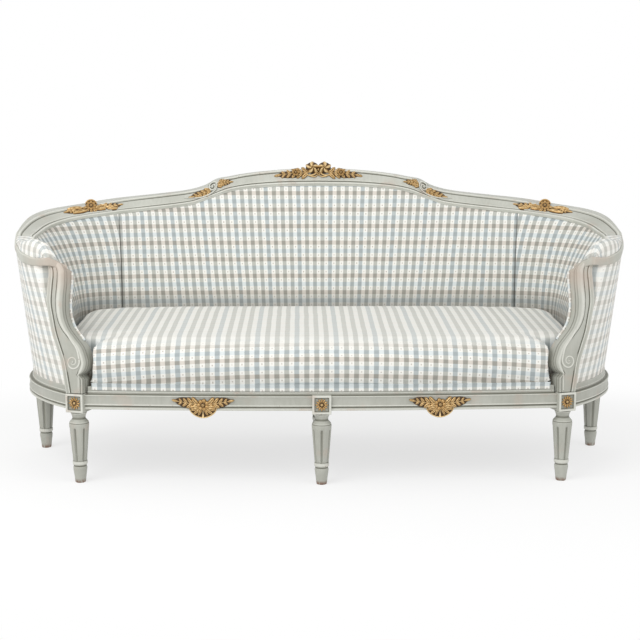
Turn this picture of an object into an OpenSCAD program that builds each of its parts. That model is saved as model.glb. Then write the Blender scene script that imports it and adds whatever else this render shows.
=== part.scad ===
// Gilded and painted three-leg-front sofa with a back that wraps round into the arms.
// Frame: X to the sitter's left-right, Y from front to back, Z up, origin on the floor
// under the middle of the overall box.

/* [Back and arms] */
// Width over the widest point of the arms
top_w = 1976; // [1700:1:2300]
// Y of the widest point of the arms
top_mid_y = -20; // [-60:1:20]
// How far the curve of the arms reaches past the outer front legs
arm_reach = 55; // [45:1:65]
// Reach of the top rail behind its widest point
top_back_reach = 417; // [380:1:450]
// Width of the arm rails at the widest point
arm_rail_w = 76; // [66:1:90]
// Y of the widest point of the inner edge
top_inner_mid_y = -60; // [-90:1:-30]
// Setback of the inner edge's curve from the outer one at the front
arm_end_setback = 29; // [20:1:36]
// Width of the back rail from front to back at its middle
crest_w = 60; // [50:1:70]
// Height of the arm rails at the posts
arm_h = 700; // [640:1:740]
// Height of the back rail at its middle
crest_h = 945; // [880:1:1040]
// Height of the rail's outer face at the middle of the back
crest_rail_h = 56; // [46:1:66]
// Height of the rail's outer face at the front of the arms
arm_rail_h = 42; // [34:1:48]

/* [Seat frame] */
// How far the arm rails stand out past the seat frame
arm_overhang = 20; // [10:1:30]
// Y of the widest point of the seat frame
frame_mid_y = 75; // [50:1:100]
// Reach of the curved side rails in front of the widest point
frame_front_reach = 700; // [650:1:760]
// Y of the outer face of the back rail
frame_back_y = 305; // [280:1:315]
// Distance of the front rail's face from the origin at its middle
front_face_y = 387; // [360:1:400]
// Bow of the front rail over its length
front_bow = 35; // [0:1:45]
// Height of the underside of the rails
rail_bottom = 232; // [210:1:245]
// Height of the flat band of the rails
band_h = 46; // [40:1:50]
// Height of the stepped cap above the band
cap_h = 22; // [16:1:26]
// Setback of the cap from the band
cap_step = 12; // [6:1:16]
// Width of the cap
cap_w = 15; // [10:1:20]
// Depth of the webbing rebate below the cap
rebate_h = 8; // [7:1:10]
// Thickness of the rails
rail_t = 46; // [40:1:50]

/* [Legs] */
// Distance of the outer front legs from the ends of the seat frame
front_leg_inset = 227; // [200:1:240]
// Distance of the outer front legs from the ends of the rail's face
front_leg_setback = 22; // [20:1:26]
// Turn of the outer front leg blocks
front_leg_turn = 18; // [10:1:24]
// Distance of the middle front leg from the rail's face
middle_leg_setback = 23; // [20:1:26]
// Height of the turned part below the block
turned_h = 222; // [215:1:224]
// Square of the front blocks
block_w = 58; // [54:1:62]
// Height of the front blocks
block_h = 58; // [56:1:60]
// Square of the rear blocks, let into the rails
rear_block_w = 50; // [44:1:52]
// Wood left outside a rear block
rear_skin = 5; // [3:1:8]
// Y of the rear side legs
rear_leg_y = 113; // [90:1:140]
// Largest diameter of the shaft
shaft_top_d = 60; // [54:1:64]
// Smallest diameter of the shaft
shaft_foot_d = 43; // [38:1:48]
// Diameter of the neck under the block
neck_d = 40; // [34:1:46]
// Diameter of the foot on the floor
foot_d = 32; // [26:1:38]
// Flutes round each shaft
flute_count = 6; // [4:1:12]
// Diameter of a flute's cutter
flute_d = 13; // [8:1:15]
// Depth of a flute
flute_depth = 4; // [2:0.5:5]
// Depth of the square field in a front block
field_depth = 4; // [2:1:6]
// Width of the frame round the field
field_rim = 7; // [5:1:10]

/* [Arm posts] */
// Thickness of a post from front to back
post_t = 54; // [46:1:58]
// Distance of a post's shoulder below the arm rail
post_clearance = 2; // [1:1:4]
// Lean of a post towards the back
post_lean = 5; // [2:1:8]
// Radius of the scroll near the foot
scroll_r = 44; // [38:1:48]

/* [Upholstery] */
// Distance of the inside arms from the ends of the seat frame at seat level
arm_wall = 155.5; // [150:0.5:170]
// Distance of the inside back from the outer face of the back rail at seat level
back_wall = 59; // [56:1:70]
// Reach of the inside arms in front of their widest point
seat_front_reach = 644; // [600:1:700]
// Height of the seat at the inside back
seat_h = 470; // [440:1:480]
// Height of the front edge of the seat
seat_front_h = 438; // [420:1:450]
// Bulge of the seat over the front rail
seat_bulge = 22; // [10:1:26]
// Thickness of the inside back and arm stuffing
pad_t = 24; // [16:1:26]
// Crown of the inside back and arm stuffing
pad_crown = 9; // [4:1:12]
// Height of the arm pads
arm_pad_h = 38; // [28:1:44]
// Share of the arm rail's width that a pad covers
arm_pad_share = 0.78; // [0.6:0.01:0.9]
// Thickness of the outside covers
cover_t = 3; // [2:1:5]
// Clearance between soft pieces and their neighbours
soft_gap = 0.4; // [0.3:0.1:0.8]

/* [Inner frame] */
// Thickness of the hidden boards and side uprights
upright_t = 20; // [14:1:22]
// Width of the hidden uprights
upright_w = 60; // [40:1:80]
// Width of the webbing
web_w = 60; // [50:1:70]
// Thickness of the webbing
web_t = 2; // [1.5:0.5:3]
// Straps from front to back
web_count = 14; // [8:1:16]
// Straps from side to side
web_cross_count = 5; // [3:1:6]
// Thickness of the hessian and the dust cover
cloth_t = 1.5; // [1:0.5:2]

/* [Carving] */
// Diameter of the rosettes
rosette_d = 38; // [30:1:42]
// Petals of a rosette
rosette_petal_count = 12; // [8:1:16]
// Length of the crest carving
crest_carving_w = 300; // [240:1:340]
// Diameter of the crest roses
crest_rose_d = 38; // [30:1:42]
// Length of an apron carving
apron_w = 186; // [150:1:210]
// Place of the apron carvings between the middle leg and the outer leg
apron_place_share = 0.483; // [0.4:0.001:0.55]
// Thickness of the carved leaves
leaf_t = 7; // [5:1:9]
// Diameter of the shoulder volutes
volute_d = 30; // [24:1:36]

/* [Hidden] */

over = 1;
$fn = 48;

paint = "#bfc2b6";
gilt = "#c9a04f";
cloth = "#e6e3da";
beech = "#b58f63";
jute = "#b79d72";

frame_w = top_w - 2 * arm_overhang;
front_leg_y = front_face_y - front_bow - front_leg_setback;
middle_leg_y = front_face_y - middle_leg_setback;
seat_back_y = frame_back_y - back_wall;
top_front_reach = front_leg_y + arm_reach;
top_inner_front_reach = top_front_reach - top_mid_y + top_inner_mid_y - arm_end_setback;
top_inner_back_reach = top_back_reach + top_mid_y - top_inner_mid_y - crest_w;
top_inner_w = top_w - 2 * arm_rail_w;
seat_w = frame_w - 2 * arm_wall;
front_leg_x = frame_w / 2 - front_leg_inset;
apron_x = front_leg_x * apron_place_share;

// Shape of each plan curve: front power, back power, front angle
frame_curve_shares = [2, 4, 37];
top_curve_shares = [3, 4.3, 41];
top_inner_curve_shares = [3, 3.2, 41];
seat_curve_shares = [3, 6, 25];
// Plan curves: half width, middle y, front reach, back reach, then the shape
frame_plan = concat([frame_w / 2, frame_mid_y, frame_front_reach, frame_back_y - frame_mid_y],
    frame_curve_shares);
top_plan = concat([top_w / 2, top_mid_y, top_front_reach, top_back_reach], top_curve_shares);
top_inner_plan = concat([top_inner_w / 2, top_inner_mid_y, top_inner_front_reach, top_inner_back_reach],
    top_inner_curve_shares);
seat_plan = concat([seat_w / 2, 0, seat_front_reach, seat_back_y], seat_curve_shares);

// Height of the rail's top edge and of its lower inner edge, as shares of the rise from arm to crest
rise = crest_h - arm_h;
top_edge_shares = [[-1, 0.03], [-0.6, 0], [-0.11, 0.13], [0.22, 0.343], [0.38, 0.437], [0.49, 0.502],
    [0.57, 0.58], [0.65, 0.641], [0.715, 0.70], [0.75, 0.77], [0.774, 0.86], [0.80, 0.894],
    [0.825, 0.927], [0.873, 0.967], [0.93, 0.996], [1, 1]];
inner_edge_shares = [[-1, -0.09], [-0.5, -0.02], [-0.176, 0.122], [0.09, 0.176], [0.267, 0.257],
    [0.387, 0.322], [0.473, 0.367], [0.54, 0.404], [0.60, 0.437], [0.70, 0.514], [0.734, 0.586],
    [0.796, 0.714], [0.88, 0.77], [1, 0.788]];
// How far the moulded face reaches over the top of the rail, as a share of the rail's width
face_shares = [[-1, 0.12], [0, 0.14], [0.3, 0.4], [0.5, 0.62], [0.7, 0.8], [1, 0.86]];

band_top = rail_bottom + band_h;
cap_top = band_top + cap_h;
rebate_top = cap_top - rebate_h;
block_top = turned_h + block_h;
post_h = arm_h - arm_rail_h - block_top - post_clearance;
corner_share = 0.5;
shoulder_share = 0.765;
seam_share = 0.53;
crest_step = (shoulder_share - corner_share) / 16;
middle_step = (1 - shoulder_share) / 14;
front_leg = [front_leg_x, -front_leg_y];
middle_leg = [0, -middle_leg_y];
rear_leg = [frame_w / 2 - rear_skin - rear_block_w / 2, rear_leg_y];
rear_middle_leg = [0, frame_back_y - rear_skin - rear_block_w / 2];
pad_back_share = -0.08;
pad_front_share = -0.93;

// Values that follow from the sizes above
cover_margin = 3;
lip_h = 6;
board_bottom = rebate_top + 2 * web_t;
pad_foot = board_bottom + upright_t;
soft_bottom = cap_top + soft_gap;
foot_spread_share = 1.09;
cover_spread_share = 1.027;
chamfer_share = 0.3;
round_share = 0.08;
pad_row_count = 7;
pad_end_share = -0.8;
cover_end_share = -0.925;
pad_end_power_share = 0.35;
arch_power_share = 0.7;
end_share = 0.15;
notch_share = -0.93;
notch_x = front_leg_x - block_w;
notch_y = front_leg_y - block_w;
seat_front_y = front_face_y - front_bow - cap_step;
seat_mid_y = (seat_back_y - front_face_y) / 2;
seat_crown = seat_bulge / 2;
// Rows of the seat: plan share, bulge share, height share, crown share
seat_row_shares = [[1, 0, 0, 0], [1, 0.55, 0.2, 0], [1, 0.95, 0.45, 0], [1, 1, 0.62, 0], [0.998, 0.75, 0.8, 0],
    [0.985, 0.35, 0.93, 0], [0.96, 0, 1, 0.1], [0.9, 0, 1, 0.4], [0.75, 0, 1, 0.75],
    [0.5, 0, 1, 0.95], [0.2, 0, 1, 1]];
rear_joint_share = 0.1;
flute_foot_share = 0.36;
flute_top_share = 0.765;
ring_share = 0.49;
ring_d = (shaft_foot_d + shaft_top_d) * ring_share;
turning_shares = [[foot_d, 0], [shaft_foot_d, 0.185], [shaft_foot_d, 0.21], [neck_d, 0.225], [neck_d, 0.25],
    [ring_d, 0.262], [ring_d, 0.3], [neck_d, 0.312], [shaft_foot_d, 0.325], [shaft_top_d, 0.795],
    [neck_d * 1.4, 0.803], [shaft_top_d, 0.815], [shaft_top_d, 0.85], [neck_d * 1.2, 0.87], [neck_d, 0.905],
    [neck_d * 1.1, 0.94], [neck_d * 1.35, 0.96], [neck_d * 1.4, 1]];
petal_ring_share = 0.75;
petal_share = 0.22;
post_shares = [[0.075, 0], [0.098, 0.133], [0.12, 0.254], [0.16, 0.373], [0.199, 0.491], [0.224, 0.615],
    [0.242, 0.733], [0.23, 0.874], [0.221, 0.952], [0.23, 1.02], [0.08, 1.02], [0.08, 0.9], [0.096, 0.733],
    [0.089, 0.615], [0.056, 0.522], [-0.008, 0.443], [-0.068, 0.373], [-0.1, 0.31], [-0.1, 0.254],
    [-0.078, 0.19], [-0.038, 0.145], [-0.075, 0.13], [-0.075, 0]];
scroll_x_share = 0.01;
scroll_z_share = 0.252;
post_share = -0.6;
side_upright_share = 0.2;
upright_in = upright_t;
seam_turn = 30;
seam_foot_share = 0.4;
web_first_y = front_face_y - rail_t * 2;
web_last_y = seat_back_y - web_w;
corner_block_w = 50;
carved_side_count = 12;
leaf_shares = [[-0.12, 0.1], [0.1, 0.32], [0.35, 0.5], [0.68, 0.38], [1, 0], [0.68, -0.38], [0.35, -0.5],
    [0.1, -0.32], [-0.12, -0.1]];
leaf_slender_share = 0.42;
spray_share = 0.6;
spray_step_share = 0.2;
rose_place_shares = [0.55, 0.22];
rose_shares = [0.8, 0.55];
rose_rise_shares = [1.5, 2.2];
shoulder_place_share = 0.35;
shoulder_leaf_shares = [[1.9, -12], [2.1, 168], [1.4, 30]];
shoulder_leaf_share = 0.5;
corner_place_share = 0.5;
corner_spray_share = 1.2;
apron_rise_share = 1.5;
apron_spray_share = 0.6;
apron_leaf_share = 0.4;
apron_bend = 6;
fan_start_turn = -125;
fan_turn = 35;
side_head_share = 0.3;
seam_head_share = 0.4;
middle_head_share = 0.42;
leaf_turn = 38;
leaf_gap = 0.2;
crest_place_share = 0.05;
crest_bend = 1.5;
corner_bend = 12;
apron_turn = 3;

// Smooth value of a table of [place, value] at place u
function step_of(t, u, i = 0) = (i >= len(t) - 2 || u < t[i + 1][0]) ? i : step_of(t, u, i + 1);
function slope_of(t, i) = let (a = max(i - 1, 0), b = min(i + 1, len(t) - 1))
    (t[b][1] - t[a][1]) / (t[b][0] - t[a][0]);
function smooth_at(t, u) = let (i = step_of(t, u), h = t[i + 1][0] - t[i][0], s = (u - t[i][0]) / h,
    ss = s * s, sss = ss * s)
    (2 * sss - 3 * ss + 1) * t[i][1] + (sss - 2 * ss + s) * h * slope_of(t, i)
    + (3 * ss - 2 * sss) * t[i + 1][1] + (sss - ss) * h * slope_of(t, i + 1);

// Point of a plan curve: u is -1 at the arm post, 0 at the widest point and 1 at the middle of the back
function plan_at(c, u) = let (t = u < 0 ? u * c[6] : u * 90, n = u < 0 ? c[4] : c[5],
    r = pow(pow(abs(cos(t)), n) + pow(abs(sin(t)), n), -1 / n))
    [c[0] * r * cos(t), c[1] + (u < 0 ? c[2] : c[3]) * r * sin(t)];
nudge_share = 0.004;
function unit(v) = v / norm(v);
function inward(c, u) =
    let (d = unit(plan_at(c, min(u + nudge_share, 1)) - plan_at(c, max(u - nudge_share, -1))))
    u >= 1 - nudge_share ? [0, -1] : [-d[1], d[0]];
function inset_at(c, u, off) = plan_at(c, u) + off * inward(c, u);
function lerp(a, b, k) = a + (b - a) * k;
function raise(p, z) = [p[0], p[1], z];
function steps(a, b, n) = [for (i = [0:n]) a + (b - a) * i / n];

// Solid lofted over rings of the same number of points
module loft(rings, flip = false) {
    m = len(rings[0]);
    n = len(rings);
    pts = [for (r = rings) each r];
    side = [for (i = [0:n - 2], j = [0:m - 1])
        let (a = i * m + j, b = i * m + (j + 1) % m, c = a + m, d = b + m) each [[a, b, d], [a, d, c]]];
    first = [for (j = [1:m - 2]) [0, j + 1, j]];
    last = [for (j = [1:m - 2]) [(n - 1) * m, (n - 1) * m + j, (n - 1) * m + j + 1]];
    all = concat(side, first, last);
    polyhedron(pts, flip ? all : [for (f = all) [f[2], f[1], f[0]]], convexity = 6);
}

// Top rail
function top_z(u) = arm_h + rise * smooth_at(top_edge_shares, u);
function inner_z(u) = arm_h + rise * smooth_at(inner_edge_shares, u);
function rail_h(u) = lerp(arm_rail_h, crest_rail_h, (u + 1) / 2);
function rail_ring(u) = let (o = plan_at(top_plan, u), i = plan_at(top_inner_plan, u),
    z = top_z(u), b = z - rail_h(u), k = smooth_at(face_shares, u), e = arm_rail_h * round_share)
    [raise(lerp(o, i, round_share / 2), b), raise(o, b + e), raise(o, z - e), raise(lerp(o, i, round_share), z),
     raise(lerp(o, i, k), z), raise(i, inner_z(u)), raise(i, inner_z(u) - lip_h),
     raise(lerp(i, o, chamfer_share), min(b, inner_z(u) - lip_h))];
// Places of the rail's rings, which the covers below it share
rail_places = concat(steps(-1, corner_share, 30), steps(corner_share + crest_step, shoulder_share, 15),
    steps(shoulder_share + middle_step, 1, 13));
function places(from, to) = concat([from],
    [for (u = rail_places) if (u > from + nudge_share && u < to - nudge_share) u], [to]);
module rail_piece(from, to) {
    color(paint) loft([for (u = places(from, to)) rail_ring(u)], true);
}
module mirrored_left() { mirror([1, 0, 0]) children(); }

module arm_rail() { rail_piece(-1, corner_share); }
module crest_rail() { rail_piece(corner_share, shoulder_share); }
module crest_rail_middle() {
    right = [for (u = places(shoulder_share, 1)) rail_ring(u)];
    left = [for (i = [len(right) - 2:-1:0]) [for (p = right[i]) [-p[0], p[1], p[2]]]];
    color(paint) loft(concat(right, left), true);
}

// Body surfaces, given by u along the plan and k from the seat frame up to the top rail
function rail_under(u) = top_z(u) - rail_h(u);
function outer_at(u, depth, k) = let (low = u < 0 ? u * cover_spread_share : u, inset = cover_margin + depth,
    a = inset_at(frame_plan, low, cap_step + inset), b = inset_at(top_plan, u, inset))
    raise(lerp(a, b, k), lerp(soft_bottom, rail_under(u) - soft_gap, k));
function low_u(u) = u < 0 ? max(u * foot_spread_share, -1) : u;
function pad_xy(u, s) = lerp(plan_at(seat_plan, low_u(u)), plan_at(top_inner_plan, u), s);
function pad_top(u) = inner_z(u) - lip_h - soft_gap;
function pad_face(u, s) = raise(pad_xy(u, s) + pad_crown * sin(180 * s) * inward(top_inner_plan, u),
    lerp(seat_h, pad_top(u), s));
function pad_back(u) = inset_at(seat_plan, low_u(u), -pad_t);
function pad_ring(u) = let (o = plan_at(top_plan, u), i = plan_at(top_inner_plan, u), back = pad_back(u))
    concat([raise(back, seat_h), raise(back, pad_foot), raise(pad_xy(u, 0), pad_foot)],
    [for (s = steps(0, 1, pad_row_count)) pad_face(u, s)],
    [raise(lerp(i, o, chamfer_share), min(rail_under(u), inner_z(u) - lip_h) - soft_gap)]);

module inside_arm() {
    color(cloth) loft([for (u = places(pad_end_share, seam_share)) pad_ring(u)]);
}
module inside_back() {
    right = [for (u = places(seam_share + nudge_share, 1)) pad_ring(u)];
    left = [for (i = [len(right) - 2:-1:0]) [for (p = right[i]) [-p[0], p[1], p[2]]]];
    color(cloth) loft(concat(right, left));
}

function cover_ring(u) = [outer_at(u, 0, 0), outer_at(u, 0, 1),
    outer_at(u, cover_t, 1), outer_at(u, cover_t, 0)];
module outside_arm() {
    color(cloth) loft([for (u = places(cover_end_share, seam_share)) cover_ring(u)], true);
}
module outside_back() {
    right = [for (u = places(seam_share + nudge_share, 1)) cover_ring(u)];
    left = [for (i = [len(right) - 2:-1:0]) [for (p = right[i]) [-p[0], p[1], p[2]]]];
    color(cloth) loft(concat(right, left), true);
}

// Padded rest on the front half of an arm rail
function rail_face_z(u, t) = let (k = smooth_at(face_shares, u))
    lerp(top_z(u), inner_z(u), max(0, (t - k) / (1 - k)));
function arm_pad_ring(u) = let (o = plan_at(top_plan, u), i = plan_at(top_inner_plan, u),
    side = (1 - arm_pad_share) / 2,
    across = sin(180 * (u - pad_front_share) / (pad_back_share - pad_front_share)),
    swell = pow(max(across, 0), pad_end_power_share))
    [for (a = steps(0, 180, 10)) let (t = 0.5 - cos(a) * arm_pad_share / 2)
        raise(lerp(o, i, t), rail_face_z(u, t) + 2 * soft_gap
            + arm_pad_h * max(swell, end_share) * pow(sin(a), arch_power_share))];
module arm_pad() {
    color(cloth) loft([for (u = places(pad_front_share, pad_back_share)) arm_pad_ring(u)], true);
}

// Seat: rings from the hem over the bulge to the crown
function seat_edge() = concat(
    [for (u = steps(1, notch_share, 22)) inset_at(seat_plan, u, 2 * over + soft_gap)],
    [[notch_x, -notch_y]],
    [for (x = steps(notch_x, 0, 8)) [x, -seat_front_y - front_bow + front_bow * pow(x / notch_x, 2)]]);
function is_front(p) = p[1] < -notch_y - soft_gap;
function ease(k) = let (c = min(max(k, 0), 1)) c * c * (3 - 2 * c);
function edge_h(y) = lerp(seat_front_h, seat_h, ease((y + front_face_y) / (seat_back_y + front_face_y)));
function seat_ring(row) = let (right = [for (p = seat_edge())
        let (bulge = is_front(p) ? seat_bulge * row[1] : 0,
            q = [p[0] * row[0], p[1] * row[0] + seat_mid_y * (1 - row[0]) - bulge])
        raise(q, lerp(soft_bottom, edge_h(q[1]), row[2]) + seat_crown * row[3])],
    n = len(right)) concat(right, [for (i = [n - 2:-1:1]) [-right[i][0], right[i][1], right[i][2]]]);
module seat_cushion() {
    color(cloth) loft([for (row = seat_row_shares) seat_ring(row)], true);
}

// Flat strip that follows a plan curve between two insets
module plan_strip(c, from, to, n, near, far, low, high) {
    translate([0, 0, low]) linear_extrude(high - low)
        polygon(concat([for (u = steps(from, to, n)) inset_at(c, u, near)],
            [for (u = steps(to, from, n)) inset_at(c, u, far)]));
}
function bow_y(x) = -front_face_y + front_bow * pow(x / front_leg_x, 2);
module front_strip(near, far, low, high) {
    translate([0, 0, low]) linear_extrude(high - low)
        polygon(concat([for (x = steps(0, front_leg_x, 12)) [x, bow_y(x) + near]],
            [for (x = steps(front_leg_x, 0, 12)) [x, bow_y(x) + far]]));
}
module block(w, low, high) { translate([-w / 2, -w / 2, low]) cube([w, w, high - low]); }
module front_block_space(w, high) {
    translate(front_leg) rotate(front_leg_turn) block(w, 0, high);
}
module post_space() {
    translate(front_leg) rotate(front_leg_turn) block(block_w + 2 * field_depth, block_top, top_w);
}
module middle_block_space() { translate(middle_leg) block(block_w, 0, block_top); }
module rear_block_spaces() {
    translate(rear_leg) block(rear_block_w, 0, band_top);
    translate(rear_middle_leg) block(rear_block_w, 0, band_top);
}
module front_rail() {
    color(paint) difference() {
        union() {
            front_strip(0, rail_t, rail_bottom, band_top);
            front_strip(cap_step, cap_step + cap_w, band_top, cap_top);
            front_strip(cap_step, rail_t, band_top, rebate_top);
        }
        front_block_space(block_w, block_top + over);
        post_space();
        middle_block_space();
    }
}
module curved_rail(from, to, n) {
    color(paint) difference() {
        union() {
            plan_strip(frame_plan, from, to, n, 0, rail_t, rail_bottom, band_top);
            plan_strip(frame_plan, from, to, n, cap_step, cap_step + cap_w, band_top, cap_top);
            plan_strip(frame_plan, from, to, n, cap_step, rail_t, band_top, rebate_top);
        }
        front_block_space(block_w, block_top + over);
        post_space();
        rear_block_spaces();
    }
}
module side_rail() { curved_rail(-1, rear_joint_share, 18); }
module back_rail() { curved_rail(rear_joint_share, 1, 24); }
module seat_cross_rail() {
    front_y = -middle_leg_y + block_w / 2;
    back_y = rear_middle_leg[1] - rear_block_w / 2;
    color(beech) translate([-rail_t / 2, front_y, rail_bottom]) cube([rail_t, back_y - front_y, band_h / 2]);
}

// Turned and fluted leg under a square block
module flute() {
    reach = flute_d / 2 - flute_depth;
    low = [shaft_foot_d / 2 + reach, turned_h * flute_foot_share];
    high = [shaft_top_d / 2 + reach, turned_h * flute_top_share];
    length = norm(high - low);
    lean = atan2(high[0] - low[0], high[1] - low[1]);
    translate([low[0], 0, low[1]]) rotate([0, lean, 0]) {
        cylinder(d = flute_d, h = length, $fn = 32);
        sphere(d = flute_d, $fn = 32);
        translate([0, 0, length]) sphere(d = flute_d, $fn = 32);
    }
}
module turned_leg() {
    difference() {
        rotate_extrude($fn = 64) polygon(concat([[0, 0]],
            [for (p = turning_shares) [p[0] / 2, p[1] * turned_h]], [[0, turned_h]]));
        for (i = [0:flute_count - 1]) rotate(i * 360 / flute_count - 90) flute();
    }
}
module front_leg_piece() {
    color(paint) union() {
        turned_leg();
        difference() {
            block(block_w, turned_h, block_top);
            translate([-block_w / 2 + field_rim, -block_w / 2 - over, turned_h + field_rim])
                cube([block_w - 2 * field_rim, field_depth + over, block_h - 2 * field_rim]);
        }
    }
}
module rear_leg_piece() {
    color(paint) union() {
        turned_leg();
        block(rear_block_w, turned_h, band_top);
    }
}
module rosette() {
    color(gilt) translate([0, -block_w / 2 + field_depth, turned_h + block_h / 2]) rotate([90, 0, 0]) {
        petal_d = rosette_d * petal_share;
        cylinder(d = rosette_d * petal_ring_share, h = field_depth / 2);
        for (i = [0:rosette_petal_count - 1]) rotate(i * 360 / rosette_petal_count)
            translate([(rosette_d - petal_d) / 2, 0, 0])
                cylinder(d = petal_d, h = field_depth * petal_ring_share);
        cylinder(d = petal_d, h = field_depth);
    }
}

// Scrolled arm post
module post_outline() {
    polygon([for (p = post_shares) p * post_h]);
    translate([post_h * scroll_x_share, post_h * scroll_z_share]) circle(r = scroll_r);
}
module arm_post() {
    color(paint) intersection() {
        translate([front_leg_x, -front_leg_y, block_top]) rotate([-post_lean, 0, 0])
            rotate(front_leg_turn) translate([0, post_t / 2, 0]) rotate([90, 0, 0])
            linear_extrude(post_t) post_outline();
        translate([0, -front_face_y, block_top])
            cube([top_w, front_face_y, rail_under(post_share) - block_top]);
    }
}

// Boards behind the seat that carry the feet of the inside back and arms
module tacking_board(from, to, n) {
    near = cap_step + cap_w + soft_gap;
    color(beech) difference() {
        translate([0, 0, board_bottom]) linear_extrude(pad_foot - soft_gap - board_bottom)
            polygon(concat([for (u = steps(from, to, n)) inset_at(frame_plan, u, near)],
                [for (u = steps(to, from, n)) inset_at(seat_plan, low_u(u), 0)]));
        post_space();
        upright_spaces(lip_h);
    }
}
module tacking_rail_back() {
    tacking_board(seam_share, 1, 16);
    mirrored_left() tacking_board(seam_share, 1, 16);
}
function cover_inside(u) = inset_at(frame_plan, u, cap_step + cover_margin + cover_t);
cavity = frame_back_y - cap_step - cover_margin - cover_t - seat_back_y - pad_t;
board_t = cavity - 2 * soft_gap;
middle_foot = [0, seat_back_y + pad_t + cavity / 2];
seam_foot = lerp(pad_back(seam_share), cover_inside(seam_share), seam_foot_share);
side_foot = [rear_leg[0] - upright_in, rear_leg[1]];
module footprint(p, w, depth, turn = 0) {
    translate(p) rotate(turn) translate([-w / 2, -depth / 2]) square([w, depth]);
}
module upright_spaces(gap) {
    translate([0, 0, rail_bottom]) linear_extrude(block_h * 2) {
        footprint(middle_foot, upright_w + gap, board_t + gap);
        footprint(seam_foot, board_t + gap, board_t + gap, seam_turn);
        footprint(side_foot, upright_t + gap, upright_w + gap);
    }
}
module upright(foot, foot_z, head, w, depth, turn = 0) {
    color(beech) hull() {
        translate([0, 0, foot_z]) linear_extrude(over) footprint(foot, w, depth, turn);
        translate([0, 0, head[2] - over]) linear_extrude(over) footprint([head[0], head[1]], w, depth, turn);
    }
}
function under_rail(u, share) = raise(lerp(plan_at(top_plan, u), plan_at(top_inner_plan, u), share),
    rail_under(u) - lip_h);
module side_upright() {
    upright(side_foot, rebate_top, under_rail(side_upright_share, side_head_share), upright_t, upright_w);
}
module seam_upright() {
    upright(seam_foot, cap_top, under_rail(seam_share, seam_head_share), board_t, board_t, seam_turn);
}
module middle_upright() {
    upright(middle_foot, cap_top, under_rail(1, middle_head_share), upright_w, board_t);
}

// Webbing, hessian and dust cover
module rebate_area(low, high) {
    near = cap_step + cap_w + over;
    edge = concat([for (u = steps(1, -0.9, 24)) inset_at(frame_plan, u, near)],
        [for (x = steps(notch_x, 0, 6)) [x, bow_y(x) + near]]);
    translate([0, 0, low]) linear_extrude(high - low)
        polygon(concat(edge, [for (i = [len(edge) - 2:-1:1]) [-edge[i][0], edge[i][1]]]));
}
module seat_webbing() {
    pitch = 2 * notch_x / web_count;
    color(jute) difference() {
        intersection() {
            union() {
                for (i = [0:web_count - 1])
                    translate([-notch_x + pitch * (i + 0.5) - web_w / 2, -front_face_y, rebate_top])
                        cube([web_w, front_face_y + frame_back_y, web_t]);
                for (i = [0:web_cross_count - 1])
                    translate([-top_w / 2, lerp(-web_first_y, web_last_y, i / (web_cross_count - 1)) - web_w / 2,
                        rebate_top + web_t]) cube([top_w, web_w, web_t]);
            }
            rebate_area(rebate_top, cap_top);
        }
        for (side = [0, 1]) mirror([side, 0, 0]) {
            translate(front_leg) rotate(front_leg_turn) block(block_w + 2 * field_depth, 0, top_w);
            upright_spaces(2 * soft_gap);
        }
    }
}
module seat_sheet(inset, low, high) {
    edge = concat([for (u = steps(1, notch_share, 20)) inset_at(seat_plan, u, inset)],
        [[notch_x - inset, -notch_y]],
        [for (x = steps(notch_x - inset, 0, 8)) [x, bow_y(x) + cap_step + cap_w + over]]);
    translate([0, 0, low]) linear_extrude(high - low)
        polygon(concat(edge, [for (i = [len(edge) - 2:-1:1]) [-edge[i][0], edge[i][1]]]));
}

module corner_blocks() {
    color(beech) for (side = [0, 1]) mirror([side, 0, 0])
        for (x = [block_w / 2 + over, front_leg_x - block_w - corner_block_w])
            translate([x, bow_y(x + corner_block_w) + rail_t + over, rail_bottom + over])
                cube([corner_block_w, corner_block_w / 2, band_h]);
}

// Carved work
module leaf_solid(length, width, t, turn) {
    rotate(turn) linear_extrude(t) polygon([for (p = leaf_shares) [p[0] * length, p[1] * width]]);
}
module boss(d, h) { cylinder(d = d, h = h, $fn = carved_side_count); }
module flower(d, t, petals) {
    boss(d * petal_ring_share, t * petal_ring_share);
    for (i = [0:petals - 1]) rotate(i * 360 / petals)
        translate([d / 2 * (1 - petal_share), 0, 0]) boss(d * petal_share * 2, t / 2);
    boss(d * petal_share, t);
}
module spray(length, h, t, count) {
    linear_extrude(t / 2) translate([0, -t / 4]) square([length, t / 2]);
    for (i = [0:count - 1]) let (x = length * (i + spray_step_share) / count, s = 1 - i / (count * 2))
        translate([x, 0, 0]) {
            leaf_solid(h * s, h * s * leaf_slender_share, t, leaf_turn);
            leaf_solid(h * s, h * s * leaf_slender_share, t, -leaf_turn);
        }
    translate([length - h / 4, 0, 0]) leaf_solid(h, h * leaf_slender_share, t, 0);
}

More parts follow.
